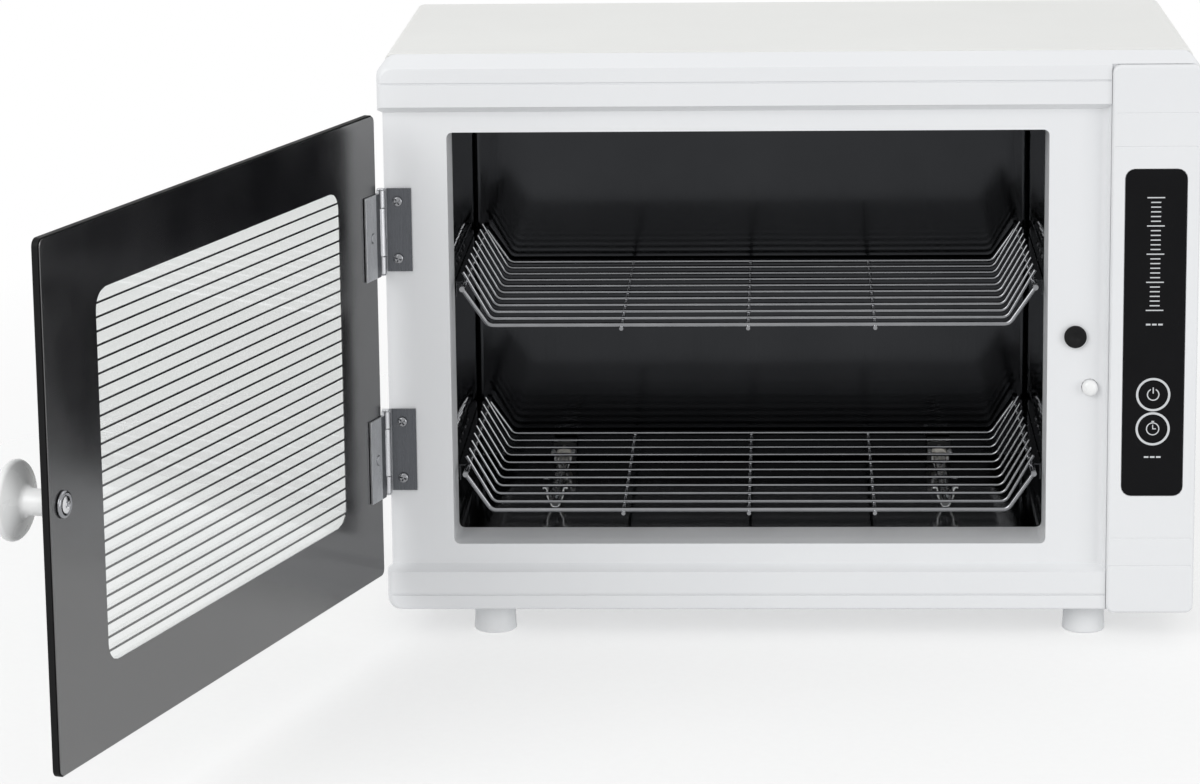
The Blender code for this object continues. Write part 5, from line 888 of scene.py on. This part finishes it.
def knob_fastening():
    """The cup washer on the door's inner side, and the raised countersunk screw that sits in it."""
    washer = in_door("knob_washer")
    centre, radius, rise = round_measures(washer, 1, 0)
    profile = [(SCREW_BORE, WASHER_THROAT), (SCREW_BORE, 0), (radius - 0.2 * MM, 0)]
    profile += arc((radius - WASHER_ROLL, rise - WASHER_ROLL), WASHER_ROLL, 0, 90, 8)
    profile += [(CUP_RADIUS, rise), (CUP_RADIUS - 0.25 * MM, rise - CUP_STEP), (SCREW_BORE, WASHER_THROAT)]
    bm = moved(turned(profile), DOOR_PLACE @ facing(centre, (0, 1, 0)))
    finish_piece("knob_washer_turned", bm, "screw_steel", "door", "knob_washer", 40)

    top = washer[1].y
    low, high = in_door("knob_screw")
    head = (high.x - low.x) / 2
    dome = high.y - top
    profile = [(0, low.y - top), (SCREW_SHANK, low.y - top), (SCREW_SHANK, -COUNTERSINK)]
    profile.append((head * 0.98, -0.04 * MM))
    for step in range(SCREW_DOME_STEPS + 1):
        share = 1 - step / SCREW_DOME_STEPS
        profile.append((head * share, dome * (1 - share**2)))
    start = Matrix.Translation((0, 0, dome * CROSS_START_RISE))
    cutter = moved(cross_cutter(head * KNOB_CROSS_WIDTH, KNOB_CROSS_DEPTH), start)
    screw = carved(turned(profile, 40), cutter)
    spin = Matrix.Rotation(math.radians(KNOB_SCREW_TURN_DEG), 4, "Z")
    moved(screw, DOOR_PLACE @ facing((centre.x, top, centre.z), (0, 1, 0)) @ spin)
    finish_piece("knob_screw_head", screw, "chromed_wire", "door", "knob_screw", 28)


def door_pane():
    """The pane with its drilled hole, and the black paint on its ground edge."""
    low, high = in_door("door_glass")
    hole = round_measures(in_door("knob_washer"), 1, 0)[0]
    sheet = high.y - low.y

    def plate(inset, thickness):
        left, right = low.x + inset, high.x - inset
        return rounded_plate(left, right, low.z + inset, high.z - inset, PANE_RADIUS - inset, thickness)

    pane = moved(plate(EDGE_PAINT + PAINT_GAP, sheet), Matrix.Translation((0, low.y, 0)))
    drill = turned([(0, -sheet), (SCREW_BORE, -sheet), (SCREW_BORE, 2 * sheet), (0, 2 * sheet)])
    pane = carved(pane, moved(drill, facing((hole.x, low.y, hole.z), (0, 1, 0))))
    moved(pane, DOOR_PLACE)
    finish_piece("door_glass_drilled", pane, "clear_glass", "door", "door_glass", even=True)

    inside = moved(plate(EDGE_PAINT, 3 * sheet), Matrix.Translation((0, -sheet, 0)))
    edge = carved(plate(0, sheet), inside)
    ease_edges(edge, 0.12 * MM, 2, 60)
    moved(edge, DOOR_PLACE @ Matrix.Translation((0, low.y, 0)))
    finish_piece("door_glass_edge", edge, "edge_paint", "door", even=True)


def print_backing():
    """The print's other side, wet against the glass: a thin skin without the inner face's gloss."""
    low, high = in_door("door_border")
    bm = moved(merged_copy("door_border"), DOOR_PLACE.inverted())
    for vert in bm.verts:
        share = (vert.co.y - low.y) / (high.y - low.y)
        vert.co.y = low.y - BACKING_GAP + share * BACKING_THICKNESS
    moved(bm, DOOR_PLACE)
    finish_piece("door_border_backing", bm, "edge_paint", "door")


def polished_chamber():
    """The chamber's own walls, with the flange's face drawn up to the sleeve that it seats on."""
    bm = merged_copy("chamber_liner")
    front = min(vert.co.y for vert in bm.verts)
    for vert in bm.verts:
        if vert.co.y < front + FLANGE_SKIN:
            vert.co.y -= FLANGE_PULL
    ease_edges(bm, 0.15 * MM, 1, 50)
    finish_piece("chamber_liner_eased", bm, "polished_steel", "cabinet", "chamber_liner", even=True)


def rubber_foot(node):
    """A moulded foot: slightly tapered, with a soft lower edge, a seating ring and the screw's well."""
    centre, radius, height = round_measures(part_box(node), 2, 0)
    well, ring_in, ring_out = FOOT_WELL_RADIUS, FOOT_RING[0], FOOT_RING[1]
    profile = [(0, FOOT_WELL_DEPTH), (well - 0.3 * MM, FOOT_WELL_DEPTH), (well, FOOT_WELL_DEPTH - 0.4 * MM)]
    profile += arc((well + FOOT_WELL_ROUND, FOOT_WELL_ROUND), FOOT_WELL_ROUND, 180, 270, 4)
    profile += [(ring_in, 0), (ring_in + FOOT_RING_SLOPE, FOOT_RING_DEPTH)]
    profile += [(ring_out - FOOT_RING_SLOPE, FOOT_RING_DEPTH), (ring_out, 0)]
    profile += arc((radius - FOOT_EDGE_ROUND, FOOT_EDGE_ROUND), FOOT_EDGE_ROUND, -90, 0, 8)
    profile += [(radius - 0.9 * MM, height - 1.2 * MM), (radius - 1.3 * MM, height - 0.4 * MM)]
    profile += [(radius - 1.8 * MM, height), (0, height)]
    bm = moved(turned(profile, 56), Matrix.Translation(centre))
    finish_piece(node + "_turned", bm, "grey_rubber", "cabinet", node, 40)


def catch_disc():
    """The ferrite catch: a disc with a worn edge and a shallow dimple, on its shank."""
    centre, radius, length = round_measures(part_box("catch_magnet"), 1, 1)
    shank = length - CATCH_HEAD
    profile = [(0, 0), (CATCH_SHANK_RADIUS, 0), (CATCH_SHANK_RADIUS, shank)]
    profile += [(radius - CATCH_CHAMFER, shank), (radius, shank + CATCH_CHAMFER)]
    profile += arc((radius - CATCH_EDGE_ROUND, length - CATCH_EDGE_ROUND), CATCH_EDGE_ROUND, 0, 90, 5)
    profile += [(2.0 * MM, length), (1.7 * MM, length - CATCH_DIMPLE), (0, length - CATCH_DIMPLE)]
    bm = moved(turned(profile, 56), facing(centre, (0, -1, 0)))
    finish_piece("catch_magnet_turned", bm, "ferrite", "cabinet", "catch_magnet", 40)


def switch_pin():
    """The door switch's pin: a lip behind the front, and a domed end."""
    centre, lip, length = round_measures(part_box("switch_plunger"), 1, 1)
    profile = [(0, 0), (lip, 0), (lip, PIN_LIP), (PIN_RADIUS, PIN_LIP), (PIN_RADIUS, length - 2.3 * MM)]
    for across, up in arc((0, 0), 1.0, 0, 90, 10):
        profile.append((PIN_RADIUS * across, length - PIN_DOME + PIN_DOME * up))
    bm = moved(turned(profile), facing(centre, (0, -1, 0)))
    finish_piece("switch_plunger_turned", bm, "white_plastic", "switch_plunger", "switch_plunger", 40)


def push_key(node):
    """A round key: cap with a soft edge and a shallow dish, lip and stem behind the panel."""
    centre, lip, length = round_measures(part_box(node), 1, 0)
    cap = lip - KEY_LIP
    behind = KEY_SHEET + KEY_LIP
    profile = [(0, length), (KEY_STEM_RADIUS, length), (KEY_STEM_RADIUS, behind), (lip, behind)]
    profile += [(lip, KEY_SHEET), (cap, KEY_SHEET), (cap, KEY_EDGE_ROUND)]
    for across, up in arc((0, 0), KEY_EDGE_ROUND, 0, 90, 5)[1:]:
        profile.append((cap - KEY_EDGE_ROUND + across, KEY_EDGE_ROUND - up))
    profile += [(cap * share, depth) for share, depth in KEY_DISH]
    bm = moved(turned(profile, 56), facing(centre, (0, 1, 0)))
    finish_piece(node + "_cap", bm, "panel_gloss", node, node, 40)


def printed_bar(left, bottom, right, top):
    """A printed bar that lies flat, its corners in millimetres."""
    return block((left * MM, bottom * MM, 0), (right * MM, top * MM, INK_THICKNESS))


def power_sign():
    """A broken ring with a bar in its gap."""
    gap = block((-1.3 * MM, 0, -MM), (1.3 * MM, 5 * MM, MM))
    bm = carved(flat_ring(3.3 * MM, 2.7 * MM, INK_THICKNESS), gap)
    join(bm, printed_bar(-0.3, 0.6, 0.3, 3.9))
    return bm


def timer_dial():
    """A ring with two hands and a button on top."""
    bm = flat_ring(3.5 * MM, 2.95 * MM, INK_THICKNESS)
    for corners in ((-0.25, -0.25, 0.25, 2.3), (0.25, -0.25, 1.7, 0.25), (-0.7, 3.7, 0.7, 4.3)):
        join(bm, printed_bar(*corners))
    return bm


def key_marks(node, sign):
    """A ring printed on the panel round the key, and a plain sign on the key itself."""
    centre = round_measures(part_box(node), 1, 0)[0]
    stand = Matrix.Translation(centre - Vector((0, INK_SINK, 0))) @ UPRIGHT
    ring = moved(flat_ring(RING_OUTER, RING_INNER, INK_THICKNESS), stand)
    finish_piece(node + "_ring", ring, "ink", "cabinet", sharp_deg=30)
    finish_piece(node + "_marks", moved(sign, stand), "ink", node, sharp_deg=30)


def panel_marks():
    """Plain printed marks on the panel: a scale of ticks and two rows of short dashes."""
    low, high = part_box("control_panel")
    middle = (low.x + high.x) / 2
    bars = []
    for i in range(TICKS):
        half = LONG_TICK if i % LONG_TICK_EVERY == 0 else SHORT_TICK
        bars.append((middle, high.z - SCALE_DROP - i * TICK_PITCH, half, TICK_HALF_HEIGHT))
    for rise in DASH_ROWS:
        for k in (-1, 0, 1):
            bars.append((middle + k * DASH_PITCH, low.z + rise, DASH_HALF, DASH_HALF_HEIGHT))
    bm = bmesh.new()
    for x, z, half, half_height in bars:
        corner = Vector((half, INK_THICKNESS, half_height))
        place = Vector((x, low.y, z))
        join(bm, block(place - corner, place + corner))
    finish_piece("control_panel_marks", bm, "ink", "cabinet", sharp_deg=30)


def studio_floor():
    """A pale matt floor that keeps the shadow and runs out into white."""
    bm = bmesh.new()
    bmesh.ops.create_circle(bm, cap_ends=True, segments=96, radius=6.0)
    bmesh.ops.translate(bm, verts=bm.verts[:], vec=(0, 0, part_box("foot_front_left")[0].z))
    mesh = as_mesh("studio_floor", bm)
    paper, tree, shader, place = start_finish(
        "matt_paper", "#FCFCFC", {"Roughness": 0.9, "Specular IOR Level": 0.1}
    )
    fibre = add(tree, "ShaderNodeTexNoise", noise_size(4, 2.0), {"Vector": place})
    tree.links.new(shades(tree, fibre.outputs[0], "#FAFAFA", "#FDFDFD"), shader.inputs["Base Color"])
    reach = add(tree, "ShaderNodeVectorMath", {"operation": "LENGTH"}, {0: place}).outputs["Value"]
    fade = add(tree, "ShaderNodeMapRange", {1: 0.35, 2: 1.1, 3: 0.6, 4: 1.0}, {0: reach}).outputs[0]
    clear = add(tree, "ShaderNodeBsdfTransparent").outputs[0]
    mixed = add(tree, "ShaderNodeMixShader", None, {0: fade, 1: shader.outputs[0], 2: clear})
    tree.links.new(mixed.outputs[0], tree.nodes["Material Output"].inputs["Surface"])
    mesh.materials.append(paper)
    put_in_scene("studio_floor", mesh)


def studio_world():
    """White where the camera, a mirror or clear glass sees it, and a softer fill for the light itself."""
    world = bpy.data.worlds.new("studio")
    world.use_nodes = True
    bpy.context.scene.world = world
    tree = world.node_tree
    tree.nodes.clear()
    rays = add(tree, "ShaderNodeLightPath")
    seen = rays.outputs["Is Camera Ray"]
    for kind in ("Is Glossy Ray", "Is Transmission Ray"):
        either = add(tree, "ShaderNodeMath", {"operation": "MAXIMUM"}, {0: seen, 1: rays.outputs[kind]})
        seen = either.outputs[0]
    white = add(tree, "ShaderNodeBackground", {"Color": (1, 1, 1, 1), "Strength": 1.0}).outputs[0]
    fill = add(tree, "ShaderNodeBackground", {"Color": linear("#F8F9FA"), "Strength": 0.66}).outputs[0]
    chosen = add(tree, "ShaderNodeMixShader", None, {0: seen, 1: fill, 2: white}).outputs[0]
    add(tree, "ShaderNodeOutputWorld", None, {"Surface": chosen}).is_active_output = True


def softbox(name, place, size, watts):
    """A square studio softbox aimed at the cabinet."""
    lamp = bpy.data.lights.new(name, "AREA")
    lamp.shape = "SQUARE"
    lamp.size = size
    lamp.energy = watts
    aim = (CABINET_MIDDLE - Vector(place)).to_track_quat("-Z", "Y").to_matrix().to_4x4()
    put_in_scene(name, lamp).matrix_world = Matrix.Translation(place) @ aim


def fitted_camera():
    """The camera at the photograph's place, turn and lens."""
    sideways, tilted = math.cos(CAMERA_YAW), math.cos(CAMERA_PITCH)
    ahead = Vector((-math.sin(CAMERA_YAW) * tilted, sideways * tilted, math.sin(CAMERA_PITCH)))
    level = Vector((sideways, math.sin(CAMERA_YAW), 0))
    upward = level.cross(ahead)
    right = level * math.cos(CAMERA_ROLL) + upward * math.sin(CAMERA_ROLL)
    up = upward * math.cos(CAMERA_ROLL) - level * math.sin(CAMERA_ROLL)
    camera = bpy.data.cameras.new("camera")
    camera.sensor_width = SENSOR_WIDTH
    camera.sensor_fit = "HORIZONTAL"
    camera.lens = FOCAL_PIXELS / PHOTO_WIDTH * SENSOR_WIDTH
    camera.shift_y = CAMERA_SHIFT_Y
    camera.clip_end = 50
    viewer = put_in_scene("camera", camera)
    turn = Matrix((right, up, -ahead)).transposed().to_4x4()
    viewer.matrix_world = Matrix.Translation(CAMERA_PLACE) @ turn
    bpy.context.scene.camera = viewer


def studio():
    """A pale floor, soft plain light and the photograph's camera."""
    bpy.context.scene.view_settings.view_transform = "Standard"
    studio_floor()
    studio_world()
    softbox("key_softbox", (-1.5, -2.2, 1.6), 1.8, 35)
    softbox("top_softbox", (1.1, 0.6, 2.4), 1.6, 6)
    softbox("fill_softbox", (2.2, -1.8, 0.5), 1.4, 17)
    fitted_camera()


def refinish(node, finish):
    """A node whose own shape is right takes the finish as it is."""
    shown = frame["nodes"][node]
    shown.data.materials.clear()
    shown.data.materials.append(FINISHES[finish])


def dress():
    """Every node gets its finish, and then finer pieces stand for most of them."""
    for part in frame["record"]["subparts"]:
        refinish(part["node"], part["material_slot"])
    eased_node("front_fascia", "moulding", 0.3)
    eased_node("control_bezel", "moulding", 0.25)
    eased_node("outer_shell", "powder_coat", 0.25)
    eased_node("back_panel", "powder_coat", 0.2, 1)
    eased_node("base_pan", "zinc_sheet", 0.2, 1)
    polished_chamber()
    eased_node("control_panel", "panel_gloss", 0.15)
    for level in ("upper", "lower"):
        eased_node(f"hinge_leaf_{level}", "leaf_steel", 0.2)
        eased_node(f"door_clamp_{level}", "hinge_steel", 0.2)
        eased_node(f"hinge_pin_{level}", "hinge_steel", 0.1, 1)
        eased_node(f"clamp_screw_{level}", "hinge_steel", 0.15)
        wire_shelf(f"{level}_shelf")
        for side in ("left", "right"):
            eased_node(f"{level}_rail_{side}", "polished_steel", 0.2)
        for end, turn_deg in (("top", 33), ("bottom", 71)):
            screw_piece(f"hinge_screw_{level}_{end}", (0, -1, 0), "screw_steel", turn_deg)
    door_pane()
    print_backing()
    for side, outward in (("left", -1), ("right", 1)):
        lamp_pieces(f"uv_lamp_{side}")
        eased_node(f"lamp_socket_{side}", "black_plastic", 0.5)
        for end in ("front", "back"):
            spring_clip(f"lamp_clip_{end}_{side}")
            rubber_foot(f"foot_{end}_{side}")
            screw_piece(f"foot_screw_{end}_{side}", (0, 0, -1), "zinc_sheet", 15)
        for row, turn_deg in (("front", 40), ("rear", 12)):
            screw_piece(f"side_screw_{row}_{side}", (outward, 0, 0), "zinc_sheet", turn_deg)
    screw_piece("ballast_screw", (0, 0, 1), "zinc_sheet", 55)
    eased_node("lamp_ballast", "black_plastic", 0.8)
    eased_node("door_switch_body", "black_plastic", 0.4)
    eased_node("cord_gland", "black_plastic", 0.4)
    door_knob()
    knob_fastening()
    catch_disc()
    switch_pin()
    for node, sign in (("key_upper", power_sign()), ("key_lower", timer_dial())):
        push_key(node)
        key_marks(node, sign)
    panel_marks()


FINISHES = make_finishes()
dress()
studio()
